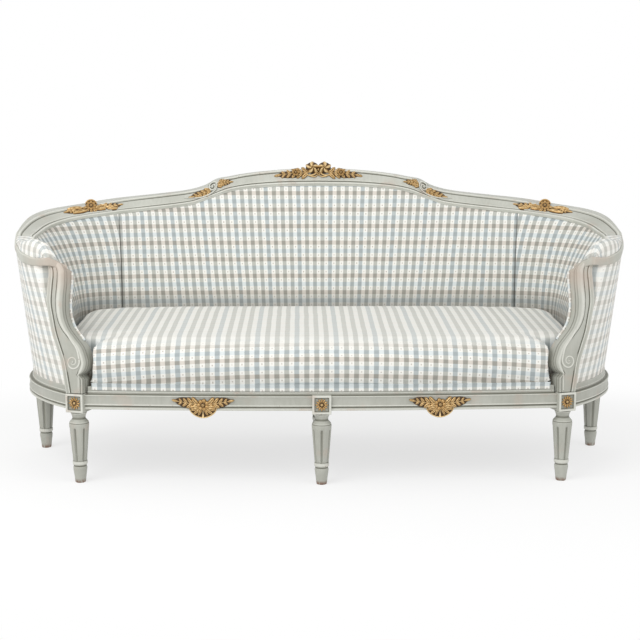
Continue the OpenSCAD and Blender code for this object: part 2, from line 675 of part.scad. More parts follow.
// Places children on the moulded face of the top rail, local Y up the face and local Z out of it
module on_face(u, share) {
    a = rail_ring(u)[4];
    b = rail_ring(u)[5];
    next = rail_ring(min(u + nudge_share, 1));
    last = rail_ring(u - nudge_share);
    along = unit(last[4] + last[5] - next[4] - next[5]);
    out = unit(cross(along, a - b));
    up = cross(out, along);
    translate(lerp(a, b, share)) rotate([atan2(up[2], out[2]), -asin(along[2]), atan2(along[1], along[0])])
        translate([0, 0, leaf_gap]) children();
}
module crest_carving() {
    spray_l = crest_carving_w / 2 - crest_rose_d / 2;
    color(gilt) on_face(1, crest_place_share) {
        for (side = [0, 1]) mirror([side, 0, 0]) {
            rotate([0, -crest_bend, 0]) translate([0, -crest_rose_d / 5, 0])
                spray(spray_l, crest_rose_d * spray_share, leaf_t, 5);
            translate(rose_place_shares * crest_rose_d)
                for (i = [0, 1]) boss(crest_rose_d * rose_shares[i], leaf_t * rose_rise_shares[i]);
        }
        translate([0, -crest_rose_d / 4, 0]) boss(crest_rose_d / 3, leaf_t * 2);
    }
}
module shoulder_carving() {
    color(gilt) on_face(shoulder_share, shoulder_place_share) {
        boss(volute_d, leaf_t * rose_rise_shares[0]);
        for (l = shoulder_leaf_shares)
            leaf_solid(volute_d * l[0], volute_d * shoulder_leaf_share, leaf_t, l[1]);
    }
}
module corner_carving() {
    color(gilt) on_face(corner_share, corner_place_share) {
        flower(rosette_d * petal_ring_share, leaf_t, rosette_petal_count);
        for (side = [0, 1]) mirror([side, 0, 0]) rotate([0, -corner_bend, 0]) translate([rosette_d / 4, 0, 0])
            spray(rosette_d * corner_spray_share, rosette_d / 2, leaf_t, 3);
    }
}
module apron_carving() {
    drop = rosette_d;
    color(gilt) translate([apron_x, bow_y(apron_x) - soft_gap / 4, rail_bottom + drop / 4])
        rotate([90, 0, apron_turn]) {
            flower(drop, leaf_t * apron_rise_share, rosette_petal_count);
            for (side = [0, 1]) mirror([side, 0, 0]) rotate(-apron_bend)
                spray(apron_w / 2 - drop / 4, drop * apron_spray_share, leaf_t, 5);
            for (i = [0:2]) leaf_solid(drop, drop * apron_leaf_share, leaf_t, fan_start_turn + i * fan_turn);
        }
}

module dust_cover() {
    color("#4a4844") difference() {
        translate([0, 0, rail_bottom - cloth_t]) linear_extrude(cloth_t) union() {
            for (side = [0, 1]) mirror([side, 0, 0]) polygon(concat(
                [for (u = steps(-0.98, 1, 30)) inset_at(frame_plan, u, rail_t / 2)],
                [for (x = steps(0, front_leg_x, 12)) [x, bow_y(x) + rail_t / 2]]));
        }
        for (side = [-1, 1]) {
            translate([side * front_leg[0], front_leg[1], 0]) cylinder(d = block_w * 1.5, h = turned_h * 2);
            translate([side * rear_leg[0], rear_leg[1], 0]) cylinder(d = block_w * 1.5, h = turned_h * 2);
        }
        for (p = [middle_leg, rear_middle_leg]) translate(p) cylinder(d = block_w * 1.5, h = turned_h * 2);
    }
}

mirrored_left() front_rail();  // front_rail_left
front_rail();  // front_rail_right
mirrored_left() side_rail();  // side_rail_left
side_rail();  // side_rail_right
mirrored_left() back_rail();  // back_rail_left
back_rail();  // back_rail_right
seat_cross_rail();
mirrored_left() translate(front_leg) rotate(front_leg_turn) front_leg_piece();  // front_left_leg
translate(middle_leg) front_leg_piece();  // front_middle_leg
translate(front_leg) rotate(front_leg_turn) front_leg_piece();  // front_right_leg
mirrored_left() translate(rear_leg) rear_leg_piece();  // rear_left_leg
translate(rear_middle_leg) rear_leg_piece();
translate(rear_leg) rear_leg_piece();  // rear_right_leg
mirrored_left() translate(front_leg) rotate(front_leg_turn) rosette();  // left_rosette
translate(middle_leg) rosette();  // middle_rosette
translate(front_leg) rotate(front_leg_turn) rosette();  // right_rosette
mirrored_left() arm_post();  // arm_post_left
arm_post();  // arm_post_right
mirrored_left() arm_rail();  // arm_rail_left
arm_rail();  // arm_rail_right
mirrored_left() crest_rail();  // crest_rail_left
crest_rail();  // crest_rail_right
crest_rail_middle();
mirrored_left() arm_pad();  // arm_pad_left
arm_pad();  // arm_pad_right
inside_back();
mirrored_left() inside_arm();  // inside_arm_left
inside_arm();  // inside_arm_right
outside_back();
mirrored_left() outside_arm();  // outside_arm_left
outside_arm();  // outside_arm_right
seat_cushion();
seat_webbing();
color(jute) seat_sheet(over, board_bottom, board_bottom + cloth_t);  // seat_hessian
dust_cover();
mirrored_left() seam_upright();  // back_upright_left
seam_upright();  // back_upright_right
middle_upright();  // back_upright_middle
mirrored_left() side_upright();  // side_upright_left
side_upright();  // side_upright_right
mirrored_left() tacking_board(pad_end_share, seam_share, 20);  // tacking_rail_left
tacking_board(pad_end_share, seam_share, 20);  // tacking_rail_right
tacking_rail_back();
corner_blocks();
crest_carving();
mirrored_left() shoulder_carving();  // shoulder_carving_left
shoulder_carving();  // shoulder_carving_right
mirrored_left() corner_carving();  // corner_carving_left
corner_carving();  // corner_carving_right
mirrored_left() apron_carving();  // apron_carving_left
apron_carving();  // apron_carving_right
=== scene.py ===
"""Painted and gilded sofa whose back wraps round into the arms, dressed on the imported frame."""

import logging
import math
from dataclasses import dataclass
from enum import Enum
from typing import Callable, Iterable, Sequence

import bmesh
import bpy
import numpy as np
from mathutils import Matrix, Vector
from mathutils.bvhtree import BVHTree


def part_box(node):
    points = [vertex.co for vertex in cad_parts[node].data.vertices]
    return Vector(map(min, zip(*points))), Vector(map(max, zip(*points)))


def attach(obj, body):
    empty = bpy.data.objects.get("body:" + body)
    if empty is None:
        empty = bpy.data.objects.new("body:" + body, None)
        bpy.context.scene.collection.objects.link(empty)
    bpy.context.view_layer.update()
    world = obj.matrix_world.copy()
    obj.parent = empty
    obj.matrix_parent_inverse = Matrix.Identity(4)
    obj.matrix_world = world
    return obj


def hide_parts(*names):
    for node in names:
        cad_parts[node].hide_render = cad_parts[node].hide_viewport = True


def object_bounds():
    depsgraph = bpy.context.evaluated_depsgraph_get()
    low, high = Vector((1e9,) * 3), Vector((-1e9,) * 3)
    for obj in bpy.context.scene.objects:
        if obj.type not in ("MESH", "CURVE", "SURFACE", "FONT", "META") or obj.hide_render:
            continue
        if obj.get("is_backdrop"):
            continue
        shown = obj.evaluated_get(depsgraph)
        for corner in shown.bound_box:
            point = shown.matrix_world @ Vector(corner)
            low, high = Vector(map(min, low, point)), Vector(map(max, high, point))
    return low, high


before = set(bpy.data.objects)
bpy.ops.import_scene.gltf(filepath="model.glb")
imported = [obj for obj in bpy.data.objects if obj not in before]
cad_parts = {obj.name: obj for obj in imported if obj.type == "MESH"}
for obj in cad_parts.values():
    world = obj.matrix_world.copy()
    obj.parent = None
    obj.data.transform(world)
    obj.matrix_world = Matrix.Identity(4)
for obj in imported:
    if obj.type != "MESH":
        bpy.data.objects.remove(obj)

LOG = logging.getLogger("sofa")
Array = np.ndarray
Pair = tuple[float, float]
Pairs = tuple[Pair, ...]
Triple = tuple[float, float, float]
Triples = tuple[Triple, ...]
MM = 0.001
TINY = 1e-9
CURVE_STEPS = 24
FLIP = np.array([-1.0, 1.0, 1.0])

# Sizes in millimetres that several pieces share.
LEG_X, LEG_Y, LEG_TURN = 741.0, -330.0, 18.0
SEAT_BOW = 35.0
SEAT_BACK = 470.0
SOFT_FOOT = 300.4

# Angles in degrees past which an edge of cloth is drawn sharp.
SMOOTH, CREASED = 80.0, 60.0


class Slot(Enum):
    """Material slots of the record."""

    PAINT = "painted_wood"
    GILT = "gilt_carving"
    CHECK = "check_cloth"
    BEECH = "bare_wood"
    JUTE = "jute"
    DARK = "dark_cloth"


class Half(Enum):
    """Half of the sofa, as the sign of X."""

    RIGHT = 1
    LEFT = -1

    @property
    def tail(self) -> str:
        """End of the names of this half's pieces."""
        return self.name.lower()


def lerp(a: Array | float, b: Array | float, k: Array | float) -> Array:
    """Value between a and b at share k."""
    return np.asarray(a) + (np.asarray(b) - np.asarray(a)) * k


def vectors(*parts: Array | float) -> Array:
    """Vectors of their separate numbers, along a new last axis."""
    return np.stack(np.broadcast_arrays(*parts), -1)


def raised(plan: Array, z: Array | float) -> Array:
    """Plan points with a height.

    Args:
        plan: Points, last axis x and y.
        z: Height or heights.

    Returns:
        Points with x, y and z.
    """
    z = np.broadcast_to(np.asarray(z, float), plan.shape[:-1])
    return np.concatenate([plan, z[..., None]], -1)


def unit(v: Array) -> Array:
    """Vectors of length one."""
    return v / np.maximum(np.linalg.norm(v, axis=-1, keepdims=True), TINY)


def ease(k: Array) -> Array:
    """Smooth step from 0 to 1."""
    c = np.clip(k, 0, 1)
    return c * c * (3 - 2 * c)


def lengths(points: Array) -> Array:
    """Length from the first point of a path to each of its points."""
    return np.concatenate([[0], np.cumsum(np.linalg.norm(np.diff(points, axis=0), axis=1))])


def doubled(rows: Array) -> Array:
    """Rows of the right half, carried on over the middle to the left."""
    return np.concatenate([rows, (rows * FLIP)[-2::-1]])


def laid(across: Array, along: Array, light_wash: Array | float = 0.0) -> Array:
    """Cloth coordinates of a grid of points.

    Args:
        across: Millimetres across the cloth.
        along: Millimetres down the cloth.
        light_wash: How far painted light pales the check, from 0 to 1.

    Returns:
        The three numbers of each point.
    """
    return vectors(across, along, light_wash)


def resampled(path: Sequence[Sequence[float]], count: int) -> Array:
    """Smooth path through points, at even steps.

    Args:
        path: Points of any dimension.
        count: Points of the result.

    Returns:
        Points on a Catmull-Rom curve.
    """
    p = np.asarray(path, float)
    p = np.concatenate([[2 * p[0] - p[1]], p, [2 * p[-1] - p[-2]]])
    fine = []
    for i in range(1, len(p) - 2):
        k = np.linspace(0, 1, CURVE_STEPS, endpoint=False)[:, None]
        a, b, c, d = p[i - 1], p[i], p[i + 1], p[i + 2]
        fine.append(0.5 * (2 * b + (c - a) * k + (2 * a - 5 * b + 4 * c - d) * k**2
                           + (3 * b - a - 3 * c + d) * k**3))
    fine = np.concatenate(fine + [p[-2:-1]])
    s = lengths(fine)
    at = np.linspace(0, s[-1], count)
    return np.stack([np.interp(at, s, fine[:, i]) for i in range(fine.shape[1])], -1)


class Smooth:
    """Smooth function through a table of places and values."""

    def __init__(self, *table: Pair) -> None:
        """Keeps the table and its slopes."""
        self.place = np.array([t[0] for t in table], float)
        self.value = np.array([t[1] for t in table], float)
        last = len(table) - 1
        low = np.maximum(np.arange(last + 1) - 1, 0)
        high = np.minimum(np.arange(last + 1) + 1, last)
        self.slope = (self.value[high] - self.value[low]) / (self.place[high] - self.place[low])

    def __call__(self, u: Array | float) -> Array:
        """Value at a place or places."""
        u = np.asarray(u, float)
        i = np.clip(np.searchsorted(self.place, u, side="right") - 1, 0, len(self.place) - 2)
        h = self.place[i + 1] - self.place[i]
        s = (u - self.place[i]) / h
        s2, s3 = s * s, s**3
        return ((2 * s3 - 3 * s2 + 1) * self.value[i] + (s3 - 2 * s2 + s) * h * self.slope[i]
                + (3 * s2 - 2 * s3) * self.value[i + 1] + (s3 - s2) * h * self.slope[i + 1])


@dataclass(frozen=True)
class Plan:
    """Plan curve of the right half: u is -1 at the arm, 0 at the widest point, 1 at the back's middle."""

    half: float
    mid: float
    front: float
    back: float
    front_power: float
    back_power: float
    front_angle: float
    nudge: float = 0.004
    square_from: float = 0.996

    def at(self, u: Array | float) -> Array:
        """Points of the curve."""
        u = np.asarray(u, float)
        t = np.radians(np.where(u < 0, u * self.front_angle, u * 90.0))
        n = np.where(u < 0, self.front_power, self.back_power)
        c, s = np.cos(t), np.sin(t)
        r = (np.abs(c) ** n + np.abs(s) ** n) ** (-1 / n)
        reach = np.where(u < 0, self.front, self.back)
        return vectors(self.half * r * c, self.mid + reach * r * s)

    def inward(self, u: Array | float) -> Array:
        """Unit vectors across the curve, towards the seat."""
        u = np.asarray(u, float)
        d = unit(self.at(np.minimum(u + self.nudge, 1)) - self.at(np.maximum(u - self.nudge, -1)))
        side = vectors(-d[..., 1], d[..., 0])
        return np.where((u >= self.square_from)[..., None], np.array([0.0, -1.0]), side)

    def inset(self, u: Array | float, off: Array | float) -> Array:
        """Points of the curve moved inwards."""
        return self.at(u) + np.asarray(off, float)[..., None] * self.inward(u)


SEAT_PLAN = Plan(812.5, 0, 644, 246, 3, 6, 25)
FRAME_PLAN = Plan(968, 75, 700, 230, 2, 4, 37)


def linked(name: str, data: bpy.types.ID) -> bpy.types.Object:
    """New object in the scene."""
    made = bpy.data.objects.new(name, data)
    bpy.context.collection.objects.link(made)
    return made


def stored(mesh: bpy.types.Mesh, name: str, values: Array) -> None:
    """Stores a number or a vector of each point as an attribute of a mesh."""
    kind, key = ("FLOAT", "value") if values.ndim == 1 else ("FLOAT_VECTOR", "vector")
    layer = mesh.attributes.get(name) or mesh.attributes.new(name, kind, "POINT")
    layer.data.foreach_set(key, values.astype(np.float32).ravel())


def relief_of(mesh: bpy.types.Mesh) -> Array:
    """Relief of each point of a mesh."""
    values = np.empty(len(mesh.vertices), np.float32)
    mesh.attributes["relief"].data.foreach_get("value", values)
    return values


def coords(mesh: bpy.types.Mesh) -> Array:
    """Points of a mesh."""
    flat = np.empty(len(mesh.vertices) * 3, np.float32)
    mesh.vertices.foreach_get("co", flat)
    return flat.reshape(-1, 3).astype(float)


class Shape:
    """Points, faces, relief and cloth coordinates of a piece, in millimetres."""

    weld = 0.008

    def __init__(self) -> None:
        """Starts empty."""
        self.points: list[Array] = []
        self.relief: list[Array] = []
        self.cloth: list[Array] = []
        self.faces: list[tuple[int, ...]] = []
        self.count = 0

    def add(self, points: Array, faces: Iterable[tuple[int, ...]], relief: Array | float = 0.0,
            cloth: Array | None = None) -> "Shape":
        """Adds points and the faces between them.

        Args:
            points: Points in millimetres.
            faces: Corners of each face, counted from the first of these points.
            relief: From -1 in a groove to 1 on an edge, which the finishes paint as shade and highlight.
            cloth: Cloth coordinates, as laid() gives them.

        Returns:
            The shape itself.
        """
        points = np.asarray(points, float).reshape(-1, 3)
        n = len(points)
        self.points.append(points)
        self.relief.append(np.broadcast_to(np.asarray(relief, float).reshape(-1), (n,)))
        self.cloth.append(np.zeros((n, 3)) if cloth is None else np.asarray(cloth, float).reshape(n, 3))
        self.faces += [tuple(i + self.count for i in f) for f in faces]
        self.count += n
        return self

    def rings(self, rows: Array, relief: Array | float = 0.0, cloth: Array | None = None) -> "Shape":
        """Adds a closed body of rings, with a face over the first and the last.

        Args:
            rows: Points, first axis rings, second axis points round a ring.
            relief: Relief of each point or of each place round a ring.
            cloth: Cloth coordinates of each point.

        Returns:
            The shape itself.
        """
        n, m = rows.shape[:2]
        faces = [(i * m + j, i * m + (j + 1) % m, (i + 1) * m + (j + 1) % m, (i + 1) * m + j)
                 for i in range(n - 1) for j in range(m)]
        faces += [tuple(range(m))[::-1], tuple(range((n - 1) * m, n * m))]
        return self.add(rows, faces, np.broadcast_to(relief, (n, m)), cloth)

    def join(self, *others: "Shape") -> "Shape":
        """Adds other shapes."""
        for other in others:
            self.add(np.concatenate(other.points), other.faces, np.concatenate(other.relief),
                     np.concatenate(other.cloth))
        return self

    def mapped(self, way: Callable[[Array], Array]) -> "Shape":
        """Copy whose points have gone through a function."""
        return Shape().add(way(np.concatenate(self.points)), self.faces, np.concatenate(self.relief),
                           np.concatenate(self.cloth))

    def mirrored(self) -> "Shape":
        """Copy on the other side of X = 0."""
        other = self.mapped(lambda p: p * FLIP)
        other.faces = [f[::-1] for f in other.faces]
        return other

    def toned(self, tone: float) -> "Shape":
        """The shape itself, with one relief all over."""
        self.relief = [np.full_like(r, tone) for r in self.relief]
        return self

    def moved(self, x: float = 0, y: float = 0, z: float = 0, turn: float = 0, scale: float = 1) -> "Shape":
        """Copy scaled, turned about Z in degrees, then moved."""
        c, s = math.cos(math.radians(turn)), math.sin(math.radians(turn))
        about = np.array([[c, -s, 0], [s, c, 0], [0, 0, 1]])
        return self.mapped(lambda p: (p * scale) @ about.T + np.array([x, y, z]))

    def mesh(self, name: str, unit_size: float = MM) -> bpy.types.Mesh:
        """Mesh of the shape with its attributes.

        Args:
            name: Name of the mesh.
            unit_size: Length of one of the shape's units in the mesh.

        Returns:
            The mesh, with doubles merged and faces outwards.
        """
        mesh = bpy.data.meshes.new(name)
        mesh.from_pydata((np.concatenate(self.points) * unit_size).tolist(), [], self.faces)
        stored(mesh, "relief", np.concatenate(self.relief))
        stored(mesh, "cloth", np.concatenate(self.cloth) * np.array([MM, MM, 1]))
        bm = bmesh.new()
        bm.from_mesh(mesh)
        bmesh.ops.remove_doubles(bm, verts=bm.verts, dist=self.weld * unit_size)
        bmesh.ops.recalc_face_normals(bm, faces=bm.faces)
        bm.to_mesh(mesh)
        bm.free()
        return mesh

    def made(self, name: str, finish: "Finish", nodes: Sequence[str], sharp: float = 45.0) -> bpy.types.Object:
        """Finished piece of the sofa.

        Args:
            name: Name of the piece.
            finish: Its finish.
            nodes: CAD nodes that it stands for.
            sharp: Angle in degrees past which an edge is drawn sharp.

        Returns:
            The object, riding on the frame.
        """
        mesh = self.mesh(name)
        mesh.shade_smooth()
        mesh.set_sharp_from_angle(angle=math.radians(sharp))
        mesh.materials.append(finish.material())
        return registered(linked(name, mesh), nodes)

    def side(self, half: Half, name: str, finish: "Finish", node: str = "", sharp: float = 45.0) -> bpy.types.Object:
        """Finished piece of one half, from the shape of the right half.

        Args:
            half: The half.
            name: Name of the piece, without the half's.
            finish: Its finish.
            node: CAD node that it stands for, with braces for the half's name, or nothing.
            sharp: Angle in degrees past which an edge is drawn sharp.

        Returns:
            The object, riding on the frame.
        """
        shape = self if half is Half.RIGHT else self.mirrored()
        return shape.made(f"{name}_{half.tail}", finish, [node.format(half.tail)] if node else [], sharp)


def registered(piece: bpy.types.Object, nodes: Sequence[str]) -> bpy.types.Object:
    """Piece hung on the root body, with the CAD nodes that it stands for hidden.

    Args:
        piece: The object.
        nodes: CAD nodes that it stands for.

    Returns:
        The same object.
    """
    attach(piece, "root")
    if nodes:
        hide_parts(*nodes)
    LOG.info("%s: %d faces", piece.name, len(piece.data.polygons))
    return piece


class Value:
    """A number socket that takes part in Python arithmetic."""

    def __init__(self, graph: "Graph", socket: bpy.types.NodeSocket) -> None:
        """Wraps a socket of a graph."""
        self.graph = graph
        self.socket = socket

    def _math(self, operation: str, first: "Value | float", second: "Value | float" = 0.0) -> "Value":
        """Result of a Math node."""
        made = self.graph.node("ShaderNodeMath", {"operation": operation}, {0: first, 1: second})
        return Value(self.graph, made.outputs[0])

    def __add__(self, other: "Value | float") -> "Value":
        """Sum."""
        return self._math("ADD", self, other)

    __radd__ = __add__

    def __sub__(self, other: "Value | float") -> "Value":
        """Difference."""
        return self._math("SUBTRACT", self, other)

    def __rsub__(self, other: "Value | float") -> "Value":
        """Difference from a number."""
        return self._math("SUBTRACT", other, self)

    def __mul__(self, other: "Value | float") -> "Value":
        """Product."""
        return self._math("MULTIPLY", self, other)

    __rmul__ = __mul__

    def __truediv__(self, other: "Value | float") -> "Value":
        """Quotient."""
        return self._math("DIVIDE", self, other)

    def __rtruediv__(self, other: "Value | float") -> "Value":
        """Quotient of a number by this."""
        return self._math("DIVIDE", other, self)

    def __abs__(self) -> "Value":
        """Absolute value."""
        return self._math("ABSOLUTE", self)

    def larger(self, other: "Value | float") -> "Value":
        """The larger of two values."""
        return self._math("MAXIMUM", self, other)

    def root(self) -> "Value":
        """Square root."""
        return self._math("SQRT", self)

    def fract(self) -> "Value":
        """Part after the point."""
        return self._math("FRACT", self)

    def floor(self) -> "Value":
        """Whole part."""
        return self._math("FLOOR", self)

    def rounded(self) -> "Value":
        """Nearest whole number."""
        return self._math("ROUND", self)

    def cos(self) -> "Value":
        """Cosine of an angle in radians."""
        return self._math("COSINE", self)

    def sin(self) -> "Value":
        """Sine of an angle in radians."""
        return self._math("SINE", self)

    def between(self, low: float, high: float) -> "Value":
        """Smooth step of this value from low to high, which may run downwards."""
        made = self.graph.node("ShaderNodeMapRange", {"interpolation_type": "SMOOTHSTEP"},
                               {"Value": self, "From Min": low, "From Max": high})
        return Value(self.graph, made.outputs[0])

    def wave(self) -> "Value":
        """Triangle wave of period 1, from 0 at whole numbers to 1 halfway."""
        return 1.0 - abs((self.fract() * 2.0) - 1.0)


class Graph:
    """Nodes of a material, world or geometry tree."""

    def __init__(self, tree: bpy.types.NodeTree) -> None:
        """Wraps a tree."""
        self.tree = tree

    @classmethod
    def cleared(cls, owner: bpy.types.Material | bpy.types.World) -> "Graph":
        """Empty graph of a material or world."""
        owner.use_nodes = True
        owner.node_tree.nodes.clear()
        return cls(owner.node_tree)

    def node(self, kind: str, settings: dict[str, object] | None = None,
             inputs: dict[str | int, object] | None = None) -> bpy.types.Node:
        """Makes any node.

        Args:
            kind: Type of the node.
            settings: Its properties, set first.
            inputs: Values or links of its sockets, by identifier, name or index.

        Returns:
            The node.
        """
        made = self.tree.nodes.new(kind)
        for name, value in (settings or {}).items():
            setattr(made, name, value)
        for key, value in (inputs or {}).items():
            socket = self.socket(made, key)
            value = value.socket if isinstance(value, Value) else value
            if isinstance(value, bpy.types.NodeSocket):
                self.tree.links.new(value, socket)
            else:
                socket.default_value = value
        return made

    @staticmethod
    def socket(made: bpy.types.Node, key: str | int) -> bpy.types.NodeSocket:
        """Input of a node by index, identifier or name."""
        if isinstance(key, int):
            return made.inputs[key]
        return next((s for s in made.inputs if s.identifier == key), None) or made.inputs[key]

    def number(self, socket: bpy.types.NodeSocket) -> Value:
        """Socket as a value."""
        return Value(self, socket)

    def part(self, vector: bpy.types.NodeSocket) -> tuple[Value, Value, Value]:
        """Three numbers of a vector."""
        made = self.node("ShaderNodeSeparateXYZ", None, {0: vector})
        return tuple(self.number(s) for s in made.outputs)

    def vector(self, x: Value | float, y: Value | float, z: Value | float) -> bpy.types.NodeSocket:
        """Vector of three numbers."""
        return self.node("ShaderNodeCombineXYZ", None, {0: x, 1: y, 2: z}).outputs[0]

    def place(self) -> bpy.types.NodeSocket:
        """Object coordinates."""
        return self.node("ShaderNodeTexCoord").outputs["Object"]

    def attribute(self, name: str, output: str = "Fac") -> bpy.types.NodeSocket:
        """The piece's own attribute."""
        return self.node("ShaderNodeAttribute", {"attribute_name": name}).outputs[output]

    def noise(self, vector: bpy.types.NodeSocket, scale: float, detail: float = 3.0,
              rough: float = 0.5) -> Value:
        """Noise over a vector."""
        made = self.node("ShaderNodeTexNoise", None,
                         {"Vector": vector, "Scale": scale, "Detail": detail, "Roughness": rough})
        return self.number(made.outputs["Fac"])

    def stretched(self, vector: bpy.types.NodeSocket, scale: Triple) -> bpy.types.NodeSocket:
        """Vector scaled along each axis."""
        return self.node("ShaderNodeMapping", None, {"Vector": vector, "Scale": scale}).outputs[0]

    def mix(self, a: "Triple | bpy.types.NodeSocket", b: "Triple | bpy.types.NodeSocket",
            factor: Value | float) -> bpy.types.NodeSocket:
        """Colour between two, each of them a socket or three sRGB bytes."""
        first, second = (srgb(*c) if isinstance(c, tuple) else c for c in (a, b))
        made = self.node("ShaderNodeMix", {"data_type": "RGBA"},
                         {"Factor_Float": factor, "A_Color": first, "B_Color": second})
        return next(s for s in made.outputs if s.identifier == "Result_Color")

    def principled(self, colour: bpy.types.NodeSocket, rough: Value | float, height: Value, distance: float,
                   strength: float, **more: Value | float) -> bpy.types.Node:
        """Principled shader with a bump.

        Args:
            colour: Base colour.
            rough: Roughness.
            height: Height of the bump, as a share of its distance.
            distance: Metres that the bump stands up.
            strength: Strength of the bump.
            **more: Other inputs, by name with underscores for spaces.

        Returns:
            The shader's node.
        """
        bump = self.node("ShaderNodeBump", None, {"Height": height, "Distance": distance, "Strength": strength})
        inputs = {"Base Color": colour, "Roughness": rough, "Normal": bump.outputs[0]}
        inputs.update({name.replace("_", " "): value for name, value in more.items()})
        return self.node("ShaderNodeBsdfPrincipled", None, inputs)

    def surface(self, kind: str, shader: bpy.types.Node) -> None:
        """Output of the tree, fed by a shader."""
        self.node(kind, None, {"Surface": shader.outputs[0]})


def srgb(red: float, green: float, blue: float) -> tuple[float, float, float, float]:
    """Colour of three sRGB bytes as Blender takes it."""
    linear = [c / 255 / 12.92 if c < 10.3 else ((c / 255 + 0.055) / 1.055) ** 2.4 for c in (red, green, blue)]
    return (*linear, 1.0)


@dataclass(frozen=True)
class Finish:
    """Finish of a piece, whose material is made once."""

    slot: Slot

    def material(self) -> bpy.types.Material:
        """Material of the finish."""
        name = self.slot.value
        found = bpy.data.materials.get(name + "_finish")
        if found:
            return found
        made = bpy.data.materials.new(name + "_finish")
        graph = Graph.cleared(made)
        graph.surface("ShaderNodeOutputMaterial", self.shader(graph))
        return made

    def shader(self, g: Graph) -> bpy.types.Node:
        """Shader of the finish, which each finish gives."""
        raise NotImplementedError


@dataclass(frozen=True)
class PaintedWood(Finish):
    """Grey-green paint rubbed on its edges, with painted shade in grooves and towards the floor, and pale edges that
    are partly wear and partly painted highlight.
    """

    slot: Slot = Slot.PAINT
    body: Triple = (179, 180, 170)
    pale: Triple = (194, 195, 186)
    # Pale colour of the edges, partly wear and partly a painted highlight.
    edge: Triple = (222, 222, 213)
    # Colour of the painted shade in grooves and towards the floor.
    groove: Triple = (96, 95, 82)
    rub: Triple = (186, 164, 148)
    wood: Triple = (112, 78, 58)
    worn_side: Pair = (0.71, 0.77)
    worn_front: Pair = (-0.23, -0.27)
    worn_from: Pair = (0.56, 0.64)
    worn_to: Pair = (0.72, 0.69)
    # Heights in metres over which painted shade darkens the paint towards the floor.
    floor_dark: Pair = (0.8, 0.3)
    foot_bare: Pair = (0.016, 0.003)

    def shader(self, g: Graph) -> bpy.types.Node:
        """Shader of the paint."""
        where = g.place()
        relief = g.number(g.attribute("relief"))
        side, depth, height = g.part(where)
        cloud = g.noise(where, 7.0, 4.0)
        brush = g.noise(g.stretched(where, (1.0, 1.0, 0.25)), 120.0, 3.0)
        fleck = g.noise(where, 95.0, 4.0, 0.7)
        colour = g.mix(self.body, self.pale, (cloud * 0.7 + brush * 0.3).between(0.35, 0.65))
        # Painted shade: the paint darkens towards the floor.
        colour = g.mix(colour, self.groove, height.between(*self.floor_dark) * 0.24)
        # Painted shade in grooves, where the relief is low.
        colour = g.mix(colour, self.groove, (0.0 - relief).between(0.1, 0.95) * 0.9)
        # Pale edges where the relief is high: partly wear, partly painted highlight.
        colour = g.mix(colour, self.edge, relief.between(0.3, 1.0) * (0.45 + fleck * 0.5))
        rubbed = g.noise(where, 16.0, 3.0).between(0.56, 0.72)
        colour = g.mix(colour, self.rub, rubbed * relief.between(-0.6, 0.6) * 0.45)
        held = abs(side).between(*self.worn_side) * depth.between(*self.worn_front) * height.between(*self.worn_from)
        held = held * height.between(*self.worn_to) * cloud.between(0.3, 0.55)
        colour = g.mix(colour, self.rub, held * 0.55)
        chips = fleck.between(0.645, 0.7) * relief.between(0.1, 0.8)
        foot = height.between(*self.foot_bare) * brush.between(0.3, 0.55)
        colour = g.mix(colour, self.wood, (chips * 0.6).larger(foot * 0.9))
        return g.principled(colour, 0.42 + brush * 0.2, brush * 0.6 + fleck * 0.4, 0.0005, 0.7)


@dataclass(frozen=True)
class GiltCarving(Finish):
    """Gold leaf with a painted highlight on its raised parts and painted shade in its crevices."""

    slot: Slot = Slot.GILT
    gold: Triple = (174, 136, 80)
    # Painted highlight on the raised parts of the gilding.
    light: Triple = (246, 222, 170)
    # Colour of the painted shade in crevices and of darker random patches.
    crevice: Triple = (46, 30, 18)

    def shader(self, g: Graph) -> bpy.types.Node:
        """Shader of the gilding."""
        where = g.place()
        relief = g.number(g.attribute("relief"))
        rub = g.noise(where, 180.0, 3.0)
        # Painted highlight where the relief is high.
        colour = g.mix(self.gold, self.light, relief.between(0.3, 0.95) * (0.25 + rub * 0.75))
        # Painted shade in crevices where the relief is low, and darker random patches where the noise is low; both
        # also dull the gold.
        dark = (0.0 - relief).between(-0.2, 0.5).larger(rub.between(0.36, 0.26) * 0.7)
        colour = g.mix(colour, self.crevice, dark * 0.92)
        return g.principled(colour, 0.36 + dark * 0.4, rub, 0.0005, 0.8, Metallic=0.35 - dark * 0.35)


